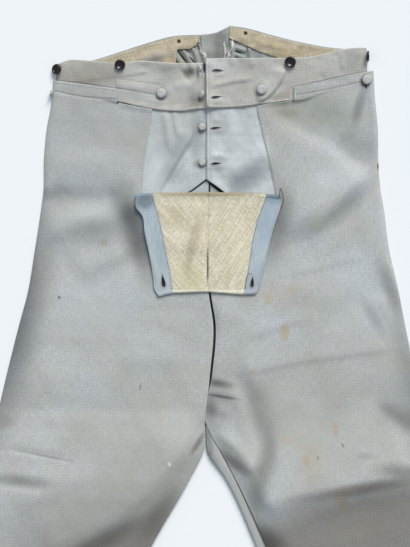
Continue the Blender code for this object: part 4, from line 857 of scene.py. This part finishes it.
stripSinks = {"weight": 0.02, "rounds": 70}  # how far a strip sinks over what is under it
backBand = {
    "spacing": 3, "thick": 0.9, "gap": 0.2, "bed": 0.45, "folds": (), "swells": (),
    "cloth": "back", "slot": "silk_back",
}
linenStrip = {
    "spacing": 1.5, "thick": 0.7, "gap": 0.3, "bed": 1.6, "straight": True,
    "cloth": "linenBand", "slot": "linen_band", "swells": ((30, 0.3), (11, 0.16)),
}
bearer = {
    "spacing": 1.5, "thick": 0.8, "gap": 0.35, "bed": 3.7, "slot": "silk_bearer",
    "swells": ((40, 0.4), (16, 0.14)),
}
frontBand = {
    "spacing": 1.3, "thick": 1.2, "gap": 0.35, "bed": 4.6, "slot": "silk_band",
    "swells": ((60, 0.35), (20, 0.16)),
}
waistPieces = {
    "waistband_back_left": {
        **backBand,
        "columns": (
            (-191, 530, -190.5, 492.9), (-151.1, 533.4, -151, 506.8),
            (-115.7, 543.9, -115, 519.7), (-80.6, 555.2, -80, 532.2),
            (-38.4, 566.4, -38, 547.2), (-6.4, 567.8, -6.4, 558.4),
        ),
        "sheet": ((0.195, 0.04), 0.005, ["floor"]),
    },
    "waistband_back_right": {
        **backBand,
        "columns": (
            (32.2, 579.5, 29.2, 570.4), (53.3, 576.6, 53, 561.2),
            (81.8, 568.8, 81, 550.4), (119.5, 559.3, 119, 535.8),
            (151.1, 552.9, 151, 523.8), (207.4, 547.2, 208.4, 501.8),
        ),
        "sheet": ((0.18, 0.046), 0.0048, ["floor"]),
    },
    "back_gusset": {
        "cloth": "gusset", "slot": "silk_back", "spacing": 1.5, "thick": 0.8, "gap": 0.3, "bed": 1.2,
        "straight": True,
        "columns": (
            (-5.6, 567.6, 3, 488), (4, 568.8, 8, 484), (15, 570.6, 14, 484), (31.6, 578.4, 24, 488),
        ),
        "folds": (
            (((-2, 562), (3, 532)), 3, 4, -0.8), (((20, 566), (17, 530)), 5, 5, 1.4),
            (((27, 566), (25, 530)), 2.5, 2.5, -1),
        ),
        "swells": ((26, 0.3), (9, 0.14)),
        "sheet": ((0.036, 0.092), 0.0022, ["floor"]),
    },
    "waistband_lining_left": {
        **linenStrip,
        "columns": (
            (-186, 528, -184, 506), (-151.1, 530.4, -151, 510),
            (-115.7, 541.8, -115, 514), (-80.6, 553.2, -80, 520),
            (-38.9, 564.4, -38.5, 526), (-36.4, 564.9, -36, 549),
            (-16, 565.8, -20, 549.4), (-7.2, 566.4, -11, 554.8),
        ),
        "folds": (
            (((-92, 535), (-62, 541), (-36, 541)), 4, 7, 2.2), (((-14, 567), (-11, 554)), 1.6, 1.6, 0.9),
            (((-56, 534), (-38, 528)), 3, 5, 1.4),
        ),
        "sheet": ((0.186, 0.042), 0.0049, ["waistband_back_left"]),
    },
    "waistband_lining_right": {
        **linenStrip,
        "columns": (
            (33, 577.6, 31.2, 563.8), (53.3, 574.6, 54, 553.8),
            (81.8, 566.8, 72, 545.6), (119.5, 557.3, 96, 537.4),
            (151.1, 550.9, 151, 517), (203, 545.4, 203, 508),
        ),
        "folds": ((((60, 562), (84, 555), (110, 548)), 5, 4, 0.9),),
        "sheet": ((0.176, 0.044), 0.0045, ["waistband_back_right"]),
    },
    "bearer_left": {
        **bearer, "cloth": "bearerLeft",
        "columns": (
            (-92, 478, -96, 354), (-66, 477.6, -68, 354), (-40, 477.6, -40, 354), (-22, 477.6, -21, 364.4),
            (-4, 478, -2, 378.4), (10.4, 478, 10.4, 388),
        ),
        "folds": (
            (((-8, 450), (-18, 430), (-30, 404), (-47, 374)), 4.4, 10, 2.4),
            (((-4, 452), (-14, 430), (-24, 408)), 6, 6, -2),
            (((-53, 478), (-49, 446), (-45, 410)), 5, 5, 2.2),
            (((-40, 478), (-38, 452), (-32, 430)), 4, 4, 2),
            (((-30, 478), (-28, 458), (-24, 440)), 3, 3, -1.3),
            (((-18, 476), (-14, 440), (-12, 400)), 7, 4, -1.6),
        ),
        "sheet": ((0.108, 0.126), 0.0125, ["back_left"]),
    },
    "bearer_right": {
        **bearer, "cloth": "bearerRight",
        "columns": (
            (2.3, 480.6, 2.2, 380.4), (14, 481, 15, 371.6), (28, 481.6, 29, 361),
            (46, 483, 44, 354), (70, 485, 76, 354), (84, 486, 108, 354),
        ),
        "folds": (
            (((5, 486), (6, 430), (5, 376)), 8, 9, 0.9, 0.05),
            (((4, 377), (16, 368), (30, 358)), 7, 6, 2.6, 0.15),
            (((30, 372), (50, 392), (64, 408), (96, 420)), 16, 13, 3.4),
            (((30, 478), (34, 440), (30, 410)), 8, 8, 1.4), (((46, 480), (50, 450), (50, 420)), 6, 7, -1.4),
            (((10, 456), (24, 458)), 4, 4, 1.2), (((9, 410), (24, 412)), 4, 4, 1.2),
        ),
        "lines": ((((2.9, 484), (3, 430), (2.9, 377)), 1.2, 1.2, 0.8, 0.02),),
        "sheet": ((0.108, 0.134), 0.0115, ["back_right", "bearer_left"]),
    },
    "waistband_front_left": {
        **frontBand, "cloth": "bandLeft", "rolled": 0, "rollWidth": 9,
        "columns": (
            (-192.6, 528.6, -193.2, 493), (-176, 534.8, -177, 490),
            (-160, 534.5, -161, 488), (-137, 532.4, -137, 486),
            (-110, 531.3, -109, 480.6), (-79, 533, -86, 474.9),
            (-52, 531.2, -55, 469.8), (-24, 530, -26, 469.2), (-5, 530.4, -5, 472), (10, 530.2, 10, 472.4),
        ),
        "folds": (
            (((-30, 512), (-22, 517), (-14, 522)), 7, 7, -2.2),
            (((-24, 478), (-12, 482), (2, 488)), 8, 7, -2.8),
            (((-44, 496), (-28, 504), (-8, 500)), 9, 7, 1.6),
            (((-82, 484), (-62, 480.5), (-44, 478)), 4, 2.4, 1),
            (((-118, 504), (-90, 500), (-58, 495)), 5, 5, 0.7, 0.05),
            (((-100, 522), (-84, 514), (-70, 508)), 8, 8, -0.9), (((-8, 534), (-7, 514)), 4, 4, -1.8),
        ),
        "lines": (
            (((-113.6, 510.4), (-89.7, 506.4), (-57.4, 501.8)), 0.8, 0.8, -0.7, 0.02),
            (((-117, 498.4), (-90, 494), (-63.2, 489.1)), 0.8, 0.8, -0.7, 0.02),
            (((-117.7, 511), (-116.2, 498)), 0.8, 0.8, -0.7, 0.05),
            (((-107, 481.2), (-86, 476.2), (-55, 471.2), (-26, 470.6), (-6, 473.4)), 1.3, 1.2, 0.8, 0.02),
            (((-2.4, 532), (-2.6, 519), (0.4, 507), (1.6, 496), (0, 476)), 1.4, 1.4, 1.3, 0.02),
        ),
        "sheet": ((0.205, 0.062), 0.0108, ["waistband_back_left", "bearer_left"]),
    },
    "waistband_front_right": {
        **frontBand, "cloth": "bandRight", "rolled": -1, "rollWidth": 8,
        "columns": (
            (1, 536.1, 2.2, 472.4), (22, 537, 24, 473.2), (48, 536.8, 49, 474.6),
            (80, 537.3, 76, 478.4), (108, 537, 109, 482.3), (140, 539.5, 134, 487),
            (164, 545, 160, 495), (186, 549.5, 186, 501), (209.6, 550.7, 210.6, 505.5),
        ),
        "folds": (
            (((66, 480), (75, 484), (84, 490.5), (92, 500), (99, 511), (104, 526)), 10, 2, 3.8, 0.15),
            (((1, 498), (34, 506.5), (68, 511)), 5, 2.4, 1.5),
            (((5, 540), (4, 500), (5, 466)), 5, 7, 2.2, 0.05),
            (((10, 516), (26, 517)), 4, 4, 1.2), (((8, 480), (24, 484)), 4, 4, 1.2),
            (((176, 552), (178, 536), (180, 518)), 4, 4, 1.3),
            (((187, 552), (190, 520)), 4, 4, -1.4), (((150, 520), (158, 500)), 5, 6, -1),
        ),
        "lines": (
            (((2.4, 538), (2, 524), (3.4, 500), (3, 474)), 1.2, 1.2, 0.9, 0.02),
            (((3, 473.8), (24, 474.6), (49, 476), (76, 479.8), (108, 483.8)), 1.2, 1.2, 0.8, 0.02),
        ),
        "sheet": ((0.212, 0.064), 0.0114, ["waistband_back_right", "bearer_right"]),
    },
}
fall = {
    # Y, then X of: left edge, left facing's seam, centre seam, right facing's seam, right edge
    "sections": (
        (360, -88.8, -67.4, 3.5, 78.6, 98.4), (351, -89.7, -65, 3.5, 75.6, 97.8),
        (343, -87.9, -62.6, 3.5, 72.9, 96.4), (337.4, -83.5, -61.2, 3.5, 71, 94.8),
        (309.5, -77.8, -54.8, 3.5, 63, 86.2), (267, -69, -46.4, 3.5, 56, 76.5),
        (250, -66.6, -43.4, 3.5, 53, 72.2), (240, -65.3, -42.3, 3.5, 50.9, 70.7),
        (232, -59.6, -41.5, 3.5, 49.6, 66.5),
    ),
    # how the lower edge and the fold depart from a level line: X, Y
    "lowerEdge": (
        (-59, 228.5), (-51, 231), (-41, 232.8), (-6, 234.7), (4.4, 234.7), (20, 233.2),
        (46, 231.1), (63.6, 231.5), (69.7, 234.6),
    ),
    "foldEdge": ((-88, 357.4), (-60, 358.4), (0, 359.6), (60, 358.6), (98, 355.4)),
    "spacing": 1.5, "thick": 0.8, "gap": 0.4, "between": 0.15, "layerThick": 0.64,
    "edgesFrom": (262, 30, 322, 38),  # Y where each begins, and over how far
    "riseY": (345, 349.4, 355), "startHeight": 5.6, "base": (-82.6, 92.4),
    "roll": 2.6, "turn": range(15, 180, 15), "drop": 38,
    "seamAt": 3.5, "seamDepth": 0.9, "seamWidth": 1.4, "lip": 0.7, "lipWidth": 1.6,
    "folds": (
        (((-4, 352), (-12, 318), (-16, 290), (-15, 240)), 9, 8, 2.2),
        (((30, 352), (40, 300), (30, 240)), 14, 12, 1),
        (((-62, 306), (-30, 292), (20, 300), (52, 316)), 14, 10, 1.2),
        (((-84, 340), (-76, 300), (-62, 244)), 5, 5, 1.2), (((92, 344), (80, 300), (66, 250)), 5, 5, 1.2),
    ),
    # node, how far its two edges are trimmed, cloth, slot, flat size and area in metres
    "layers": (
        ("fall_facing_left", (0, 0.1), "facing", "facing", (0.024, 0.13), 0.0029),
        ("fall_lining_left", (0.1, 0.1), "linenLeft", "linen", (0.071, 0.13), 0.0076),
        ("fall_lining_right", (0.1, 0.1), "linenRight", "linen", (0.076, 0.13), 0.008),
        ("fall_facing_right", (0.1, 0), "facing", "facing", (0.023, 0.13), 0.0027),
    ),
}


def makeFall():
    table = np.array(fall["sections"])
    steps = [max(1, round(gap / fall["spacing"])) for gap in -np.diff(table[:, 0])]
    rows = curveThrough(np.insert(table, 1, 0, axis=1), steps)[:, [0, 2, 3, 4, 5, 6]]
    counts = [max(2, round(gap / fall["spacing"])) for gap in np.diff(rows[:, 1:], axis=1).mean(axis=0)]
    columns = []
    for k, count in enumerate(counts, 1):
        step = rows[:, k + 1:k + 2] - rows[:, k:k + 1]
        columns.append(rows[:, k:k + 1] + step * (np.arange(count) / count))
    x = np.hstack(columns + [rows[:, 5:6]])
    y = np.repeat(rows[:, :1], x.shape[1], axis=1)
    top, bottom = rows[0, 0], rows[-1, 0]
    lowShift = np.interp(x, *np.array(fall["lowerEdge"]).T) - bottom
    highShift = np.interp(x[0], *np.array(fall["foldEdge"]).T) - top
    lowFrom, lowOver, highFrom, highOver = fall["edgesFrom"]
    lowered = lowShift * smoothStep((lowFrom - y) / lowOver)
    y = y + lowered + highShift * smoothStep((y - highFrom) / highOver)
    seams = np.append(0, np.cumsum(counts))
    least = heightBelow(x, y) + fall["gap"] + fall["thick"] / 2
    under = least[0].max()
    fade = np.exp(-((top - y) / fall["drop"]))
    base = settled(least, least, 0.01, 60)
    height = base + (under + 2 * fall["roll"] - base) * fade
    height += np.maximum(foldHeight(fall["folds"], x, y), -0.5) * smoothStep((top - y) / 15)
    height = np.maximum(height, least)
    height -= fall["seamDepth"] * np.exp(-(((x - fall["seamAt"]) / fall["seamWidth"]) ** 2))
    height += fall["lip"] * np.exp(-(((y - lowShift - bottom - 2) / fall["lipWidth"]) ** 2))

    # the under part rises from the leg fronts, widens and turns over at the fold
    share = (x[0] - x[0, 0]) / (x[0, -1] - x[0, 0])
    narrow = fall["base"][0] + (fall["base"][1] - fall["base"][0]) * share
    rise = []
    levels = (fall["startHeight"], under, under, under)
    for at, wide, up in zip((*fall["riseY"], None), (0, 0, 1, 1), levels):
        level = y[0] if at is None else np.full_like(narrow, at)
        rise.append(np.stack((narrow + (x[0] - narrow) * wide, level, np.full_like(narrow, up)), 1))
    for turn in fall["turn"]:
        angle = math.radians(turn)
        up = np.full_like(narrow, under + fall["roll"] * (1 - math.cos(angle)))
        rise.append(np.stack((x[0], y[0] + fall["roll"] * math.sin(angle), up), 1))
    points = np.concatenate((np.stack(rise), np.dstack((x, y, height))))
    thick, material = fall["thick"], cloths["legLeft"]
    layCloth("fall_cloth", "fall", points, thick, material, laidFrom=len(rise))

    # what lies on the fall is made from its points, moved out
    outPoints = points + normalsOf(points) * (fall["thick"] + fall["between"])
    firstRow = len(rise) - len(fall["turn"]) // 2 - 1
    for k, (node, trims, cloth, slotName, flat, area) in enumerate(fall["layers"]):
        part = outPoints[firstRow:, seams[k]:seams[k + 1] + 1].copy()
        for edge, inner, trim in ((0, 1, trims[0]), (-1, -2, trims[1])):
            step = part[:, inner] - part[:, edge]
            part[:, edge] += step / np.linalg.norm(step, axis=1, keepdims=True) * trim
        layCloth(node + "_cloth", node, part, fall["layerThick"], cloths[cloth])


# Slits for the buttons and eyelets for the lacing: the pieces they go through, X, Y,
# turn, length, width, where it is widest
openings = (
    (("waistband_front_right_cloth",), 17.2, 521.2, 0, 15, 3.2, 0.36),
    (("waistband_front_right_cloth",), 15.4, 486.6, 8, 14.6, 2.8, 0.3),
    (("bearer_right_cloth",), 14.6, 446.8, 7, 15, 2.4, 0.3),
    (("bearer_right_cloth",), 15.2, 400.7, 7, 15, 2.6, 0.3),
    (("fall_facing_left_cloth", "fall_cloth"), -54.3, 248.8, 98, 18.6, 4.8, 0.24),
    (("fall_facing_right_cloth", "fall_cloth"), 61.2, 247.4, 84, 16.4, 4.2, 0.24),
    (("waistband_lining_left_cloth",), -33.8, 559.4, 0, 2.6, 2.6, None),
    (("waistband_lining_right_cloth",), 52.7, 570.2, 0, 2.6, 2.6, None),
)
cutFrom, cutTo = -5, 40


def slitOutline(opening, grow=0, sides=14):
    _, x, y, turn, length, width, widest = opening
    share = np.linspace(0, 1, sides)
    if widest is None:
        half = np.sqrt(np.clip(1 - (2 * share - 1) ** 2, 0, 1))
    else:
        rising = np.sin(np.clip(share / widest, 0, 1) * math.pi / 2) ** 0.8
        falling = np.cos(np.clip((share - widest) / (1 - widest), 0, 1) * math.pi / 2) ** 1.5
        half = np.where(share < widest, rising, falling)
    at = (share - 0.5) * (length + 2 * grow)
    half = half * (width / 2 + grow)
    ring = np.vstack((np.stack((at, -half), 1), np.stack((at, half), 1)[-2:0:-1]))
    angle = math.radians(turn)
    spin = np.array(((math.cos(angle), math.sin(angle)), (-math.sin(angle), math.cos(angle))))
    return ring @ spin + (x, y)


def cutOpenings():
    for name in sorted({name for opening in openings for name in opening[0]}):
        made = bpy.data.objects[name]
        points, faces = [], []
        for opening in openings:
            if name not in opening[0]:
                continue
            ring = slitOutline(opening)
            count, first = len(ring), len(points)
            points += [(x, y, z) for z in (cutFrom, cutTo) for x, y in ring]
            faces.append([first + k for k in reversed(range(count))])
            faces.append([first + count + k for k in range(count)])
            for k in range(count):
                n = (k + 1) % count
                faces.append((first + k, first + n, first + count + n, first + count + k))
        cutter = addMesh("slit_cutter", np.array(points) * mm, faces, made.data.materials[0])
        cut = made.modifiers.new("slits", "BOOLEAN")
        cut.operation = "DIFFERENCE"
        cut.solver = "EXACT"
        cut.object = cutter
        layers = bpy.context.evaluated_depsgraph_get()
        mesh = bpy.data.meshes.new_from_object(made.evaluated_get(layers))
        made.modifiers.clear()
        made.data = mesh
        bpy.data.objects.remove(cutter)
    print("buttonholes cut")


dice = np.random.default_rng(11)
sewn = {}  # the threads of each group


def threadGroup(group, thread, slotName):
    return sewn.setdefault((group + "_" + thread, thread, slotName), {"points": [], "faces": [], "count": 0})


def addTube(build, path, radius, sides=4):
    # a closed thread along a path, tapered at both ends
    path = np.array(path, float)
    run = np.gradient(path, axis=0)
    run /= np.linalg.norm(run, axis=1, keepdims=True)
    aside = np.cross(run, (0, 0, 1))
    aside /= np.linalg.norm(aside, axis=1, keepdims=True) + 1e-9
    up = np.cross(aside, run)
    turns = np.linspace(0, 2 * math.pi, sides, endpoint=False)[:, None]
    first = build["count"]
    for k, (centre, a, b) in enumerate(zip(path, aside, up)):
        wide = radius * (0.45 if k in (0, len(path) - 1) else 1)
        build["points"].append(centre + wide * (np.cos(turns) * a + np.sin(turns) * b))
    for k in range(len(path) - 1):
        for s in range(sides):
            a, b = first + k * sides + s, first + k * sides + (s + 1) % sides
            build["faces"].append((a, a + sides, b + sides, b))
    last = first + (len(path) - 1) * sides
    build["faces"].append([first + s for s in range(sides)])
    build["faces"].append([last + s for s in reversed(range(sides))])
    build["count"] += len(path) * sides


# how far along a stitch, how high above the cloth
stitchForm = ((0, -0.2), (0.25, 0.15), (0.75, 0.15), (1, -0.2))


def stitchAlong(build, names, path, pitch, length, radius, wander=0.12):
    line = curveThrough(path, [10] * (len(path) - 1), len(path) < 3)
    far = lengthAlong(line)
    for at in np.arange(pitch / 2, far[-1] - length, pitch):
        spots = []
        shift = dice.uniform(-wander, wander, 2)
        for share, lift in stitchForm:
            spot = np.array([np.interp(at + share * length, far, line[:, k]) for k in (0, 1)]) + shift
            top = onTop(names, *spot)
            if top is not None:
                spots.append((*spot, top + lift))
        if len(spots) == len(stitchForm):
            addTube(build, spots, radius)


# Rows of stitches: group, thread, slot, pieces they lie on, (pitch, length, thickness), paths
facings = ("fall_facing_left_cloth", "fall_facing_right_cloth")
linings = ("fall_lining_left_cloth", "fall_lining_right_cloth")
frontLeft, frontRight = ("leg_front_left",), ("leg_front_right",)
bandLeft, bandRight = ("waistband_front_left_cloth",), ("waistband_front_right_cloth",)
bearerLeft, bearerRight = ("bearer_left_cloth",), ("bearer_right_cloth",)
bandLinenLeft, bandLinenRight = ("waistband_lining_left_cloth",), ("waistband_lining_right_cloth",)
stitchRows = (
    ("pocket_stitches", "grey", "silk_front", frontLeft, (2.2, 1.4, 0.26),
     ((-196, 505.6), (-160, 501), (-117, 495.6)), ((-196, 496.4), (-162, 489.2), (-113.6, 485))),
    ("pocket_stitches", "grey", "silk_front", frontRight, (2.2, 1.4, 0.26),
     ((126, 501.2), (162, 508.6), (216, 519.2)), ((128, 492), (164, 498.8), (204, 508.2))),
    ("band_stitches", "grey", "silk_band", bandLeft, (2, 1.3, 0.25),
     ((-112, 508.6), (-88, 504.6), (-64, 501.2)), ((-115.4, 500), (-90, 495.8), (-65, 491.2))),
    ("band_stitches", "grey", "silk_band", bandLeft, (2.2, 1.4, 0.25),
     ((-106, 483.4), (-86, 478.6), (-55, 473.6), (-26, 473), (-6, 475.4))),
    ("band_stitches", "grey", "silk_band", bandRight, (2.2, 1.4, 0.25),
     ((6, 476.2), (24, 477), (49, 478.4), (76, 482.4), (106, 486.4))),
    ("band_stitches", "grey", "silk_band", bandRight, (2.4, 1.4, 0.25),
     ((5.2, 533), (5, 520), (5.6, 500), (5.4, 478))),
    ("bearer_stitches", "grey", "silk_bearer", bearerRight, (2.4, 1.4, 0.25),
     ((5.2, 468), (5.4, 430), (5, 384)), ((6, 380.6), (17, 373), (27, 366))),
    ("bearer_stitches", "grey", "silk_bearer", bearerLeft, (2.4, 1.4, 0.25),
     ((-3.4, 381.4), (-12, 374.6), (-22, 367.2))),
    ("slit_seam", "blue", "silk_bearer", bearerLeft, (2.6, 2.7, 0.8),
     ((-68.3, 469), (-72.5, 440.1), (-78.6, 405.2), (-82.1, 372))),
    ("slit_seam", "blue", "silk_bearer", bearerRight, (2.6, 2.7, 0.85),
     ((67.2, 474), (73.6, 443.3), (82, 408.2), (90.1, 370))),
    ("fly_edge", "pale", "silk_band", bandRight, (2.6, 2.7, 0.5),
     ((2.3, 534), (2.7, 505), (3.4, 474)), ((84, 480.2), (96, 481.9), (109, 483.6))),
    ("fly_edge", "pale", "silk_band", bandRight, (2.6, 2.7, 0.4), ((112, 497), (110.4, 484.6))),
    ("fly_edge", "pale", "silk_front", frontRight, (2.6, 2.7, 0.4), ((117.8, 497.2), (116.4, 484.8))),
    ("fly_edge", "pale", "silk_bearer", bearerRight, (2.6, 2.7, 0.6), ((4, 470), (4.2, 430), (3.8, 382))),
    ("facing_stitches", "dark", "facing", facings, (3, 1.5, 0.45),
     ((-68.6, 358), (-59.6, 327), (-52.6, 292), (-45.6, 257), (-43, 236)),
     ((79.8, 358), (68.4, 327), (62, 299), (57, 266), (51, 237))),
    ("facing_stitches", "dark", "facing", facings, (3.4, 1.2, 0.24),
     ((-86.2, 345), (-76.4, 308), (-67.2, 267), (-63.4, 242)),
     ((94.4, 345), (84.6, 309), (75, 268), (68.6, 240))),
    ("facing_stitches", "dark", "facing", facings, (2, 1.6, 0.4),
     ((52.4, 237), (53.2, 248.3), (55, 257), (58.4, 258), (61, 256.4))),
    ("linen_stitches", "dark", "linen", linings, (2.8, 1.2, 0.26),
     ((-40, 237.4), (-20, 238.2), (2.4, 238.6)), ((5, 238.4), (24, 236.8), (48.4, 235.2))),
    ("linen_stitches", "dark", "linen", linings, (4.2, 1.2, 0.24), ((2.2, 354), (2.2, 300), (2.2, 238))),
    ("band_linen_stitches", "dark", "linen_band", bandLinenRight, (2.4, 1.4, 0.3),
     ((39.4, 560.6), (54, 555.8), (72, 547.4), (95, 539.2))),
    ("band_linen_stitches", "dark", "linen_band", bandLinenLeft, (2.4, 1.4, 0.3),
     ((-35, 550.6), (-22, 551), (-12.4, 555.4))),
    ("band_linen_stitches", "pale", "linen_band", bandLinenRight, (3, 1.5, 0.24),
     ((36, 574.6), (53, 572.4), (82, 564.6), (119, 555.2), (158, 547.4))),
    ("band_linen_stitches", "pale", "linen_band", bandLinenLeft, (3, 1.5, 0.24),
     ((-148, 529.4), (-116, 539.6), (-80, 551), (-40, 562.2), (-12, 563.8))),
    ("inseam_stitches", "grey", "silk_back", ("leg_back_right",), (3.4, 1.8, 0.26),
     ((10, 43), (19, 20), (37, -12), (56, -50), (77, -97))),
    ("hem_stitches", "grey", "silk_front", frontLeft, (6, 1.6, 0.3),
     ((-422, -500), (-320, -530), (-244, -553))),
    ("hem_stitches", "grey", "silk_front", frontRight, (6, 1.6, 0.3),
     ((422, -500), (330, -528), (256, -550))),
)
# Frayed seams beside the gusset: path, how many threads; and the pieces they lie on
frays = (
    (((-6, 552), (-5.4, 546), (0.8, 540.6), (-2, 535.6)), 10),
    (((28.6, 568), (36, 558.4), (34.8, 550), (30.6, 543.4), (31, 536.6)), 11),
    (((24, 560), (26, 548), (25, 536)), 5),
)
frayedOn = (
    "leg_back_left", "leg_back_right", "back_gusset_cloth", *bandLinenLeft, *bandLinenRight, *bandLeft,
)
frayed = {"wander": 0.28, "apart": 0.7, "lift": 0.25, "loose": 0.5, "thick": 0.32}
worked = {"inner": -0.1, "outer": 1.3, "points": 26, "thick": 0.3}  # the stitches round an opening
# A loose thread at the corner of the fall
looseThread = ((96, 357, 14), (97.6, 368, 13), (100.6, 358, 12.6), (101, 348, 11), (94, 338, 9.5))


def sewAll():
    for group, thread, slotName, names, size, *paths in stitchRows:
        for path in paths:
            stitchAlong(threadGroup(group, thread, slotName), names, path, *size)
    for opening in openings:
        thread, slotName = ("brown", "linen_band") if opening[-1] is None else ("grey", "silk_band")
        build = threadGroup("opening_stitches", thread, slotName)
        inner, outer = (slitOutline(opening, worked[edge], worked["points"]) for edge in ("inner", "outer"))
        for a, b in zip(inner, outer):
            top = onTop(opening[0][:1], *b)
            if top is not None:
                # each stitch comes up in the slit, runs over its edge and goes down again
                steps = ((a, -0.35), (a * 0.8 + b * 0.2, 0.2), ((a + b) / 2, 0.28), (b, -0.1))
                addTube(build, [(*spot, top + lift) for spot, lift in steps], worked["thick"])
    build = threadGroup("frayed_threads", "pale", "silk_back")
    for path, count in frays:
        line = curveThrough(path, [6] * (len(path) - 1))
        for _ in range(count):
            start = dice.integers(0, max(1, len(line) // 3))
            end = len(line) - dice.integers(0, max(1, len(line) // 3))
            shift = np.cumsum(dice.normal(0, frayed["wander"], (end - start, 2)), axis=0)
            shift = shift + dice.normal(0, frayed["apart"], 2)
            spots = []
            for spot in line[start:end, :2] + shift:
                height = (onTop(frayedOn, *spot) or 1) + frayed["lift"] + dice.uniform(0, frayed["loose"])
                spots.append((*spot, height))
            addTube(build, spots, frayed["thick"])
    loose = curveThrough(looseThread, [6] * (len(looseThread) - 1))
    addTube(threadGroup("loose_thread", "dark", "silk_front"), loose, 0.5, 5)
    for (name, thread, slotName), build in sewn.items():
        made = addMesh(name, np.vstack(build["points"]) * mm, build["faces"], threads[thread])
        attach(made, "root")
        print("made", name, len(build["faces"]), "faces")


# Buttons: node, x, y, width, height, tilt, toward
covered = (
    ("button_fly_1", -6, 523, 9.8, 3.4, 60, 180), ("button_fly_2", -3.6, 490, 9.8, 3.4, 52, 168),
    ("button_fly_3", -3.6, 448.1, 9.6, 3.4, 0, 0), ("button_fly_4", -3.6, 402, 9.2, 3.4, 0, 0),
    ("button_fall_left", -56.6, 491.7, 12.4, 4, 0, 0), ("button_fall_right", 73.5, 496.1, 12.4, 4, 0, 0),
    ("button_pocket_right", 209.6, 508.8, 12, 3.8, 0, 0),
    ("button_pocket_left", -198.6, 491.8, 9.6, 3.2, 84, 180),
)
dished = (
    ("button_brace_1", -191.4, 522.6, 13.8, 4, 26, 175), ("button_brace_2", -110.2, 528.4, 13.8, 4, 0, 0),
    ("button_brace_3", 110.5, 532, 14.6, 4, 0, 0), ("button_brace_4", 209, 539.4, 13.8, 3.4, 86, 0),
)
# Profiles, from the middle below to the middle above: share of the radius, share of the height
coveredProfile = (
    (0, 0), (0.6, 0), (0.92, 0.14), (1, 0.38), (1, 0.6), (0.94, 0.84), (0.84, 0.96), (0.5, 1), (0, 1),
)
dishedProfile = (
    (0, 0), (0.55, 0), (0.9, 0.2), (1, 0.5), (0.98, 0.78), (0.9, 0.96), (0.8, 1), (0.68, 0.84),
    (0.5, 0.6), (0.28, 0.56), (0, 0.62),
)
# turned on their shanks, half under the fly
pulled = {"nodes": ("button_fly_1", "button_fly_2"), "sunk": 2.4}
buttonSides = 40


def makeButton(node, x, y, width, height, tilt, toward, profile, material, slotName):
    sides = buttonSides
    turns = np.linspace(0, 2 * math.pi, sides, endpoint=False)
    rings = []
    for reach, up in profile[1:-1]:
        across, deep = np.cos(turns) * reach * width / 2, np.sin(turns) * reach * width / 2
        rings.append(np.stack((across, deep, turns * 0 + up * height), 1))
    points = np.vstack(rings + [[(0, 0, profile[k][1] * height)] for k in (0, -1)])
    low, high = len(points) - 2, len(points) - 1
    last = (len(rings) - 1) * sides
    faces = []
    for first in range(0, last, sides):
        for s in range(sides):
            n = (s + 1) % sides
            faces.append((first + s, first + n, first + sides + n, first + sides + s))
    for s in range(sides):
        n = (s + 1) % sides
        faces += [(n, s, low), (last + s, last + n, high)]
    a, b = math.radians(tilt), math.radians(toward)
    lean = np.array(((math.cos(a), 0, math.sin(a)), (0, 1, 0), (-math.sin(a), 0, math.cos(a))))
    spin = np.array(((math.cos(b), -math.sin(b), 0), (math.sin(b), math.cos(b), 0), (0, 0, 1)))
    points = points @ (spin @ lean).T
    cadLow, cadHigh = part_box(node)
    if node in pulled["nodes"]:
        points += (x, y, heightBelow(x, y) - min(points[:, 2]) - pulled["sunk"])
    elif tilt:
        middle = (np.array(cadLow) + np.array(cadHigh)) / 2 / mm
        points += middle - (points.min(axis=0) + points.max(axis=0)) / 2
    else:
        points += (x, y, heightBelow(x, y) + 0.1)
    made = addMesh(node + "_mould", points * mm, faces, material)
    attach(made, "root")
    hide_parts(node)


def makeStudio():
    scene = bpy.context.scene
    scene.view_settings.view_transform = "Standard"
    board = {"Base Color": hexColour(studio["floor"]), "Roughness": 0.9}
    half = studio["floorHalf"]
    corners = [(-half, -half, 0), (half, -half, 0), (half, half, 0), (-half, half, 0)]
    floor = addMesh("floor", corners, [(0, 1, 2, 3)], newMaterial("matt white board", board)[0])

    world = bpy.data.worlds.new("soft sky")
    world.use_nodes = True
    sky = world.node_tree.nodes["Background"].inputs
    sky["Color"].default_value = hexColour(studio["sky"])
    sky["Strength"].default_value = studio["skyStrength"]
    scene.world = world

    lamp = bpy.data.lights.new("wide soft light", "SUN")
    lamp.angle = math.radians(studio["keySpread"])
    lamp.energy = studio["keyStrength"]
    lamp.color = hexColour(studio["keyColour"])[:3]
    key = bpy.data.objects.new("wide soft light", lamp)
    key.rotation_euler = Vector(studio["keyFrom"]).to_track_quat("Z", "Y").to_euler()
    scene.collection.objects.link(key)
    camera = bpy.data.cameras.new("camera above")
    camera.sensor_fit = "VERTICAL"
    camera.sensor_height = view["sensor"]
    camera.lens = view["sensor"] * view["height"] / view["down"]
    eye = bpy.data.objects.new("camera above", camera)
    eye.location = Vector((view["middleX"], view["middleY"], view["height"])) * mm
    scene.collection.objects.link(eye)
    scene.camera = eye
    print("studio ready")


legBack("leg_back_left", leftBack, leftLeg, cloths["backLeft"])
legBack("leg_back_right", rightBack, rightLeg, cloths["backRight"])
for seed, (node, piece) in enumerate(waistPieces.items(), 1):
    strip(node, piece, seed)
legFront("leg_front_right", rightLeg, cloths["legRight"])
legFront("leg_front_left", leftLeg, cloths["legLeft"])
makeFall()
print("cloth laid")
sewAll()
cutOpenings()
for row in covered:
    makeButton(*row, coveredProfile, cloths["button"], "covered_button")
for row in dished:
    makeButton(*row, dishedProfile, horn, "horn")
print("buttons set")
makeStudio()
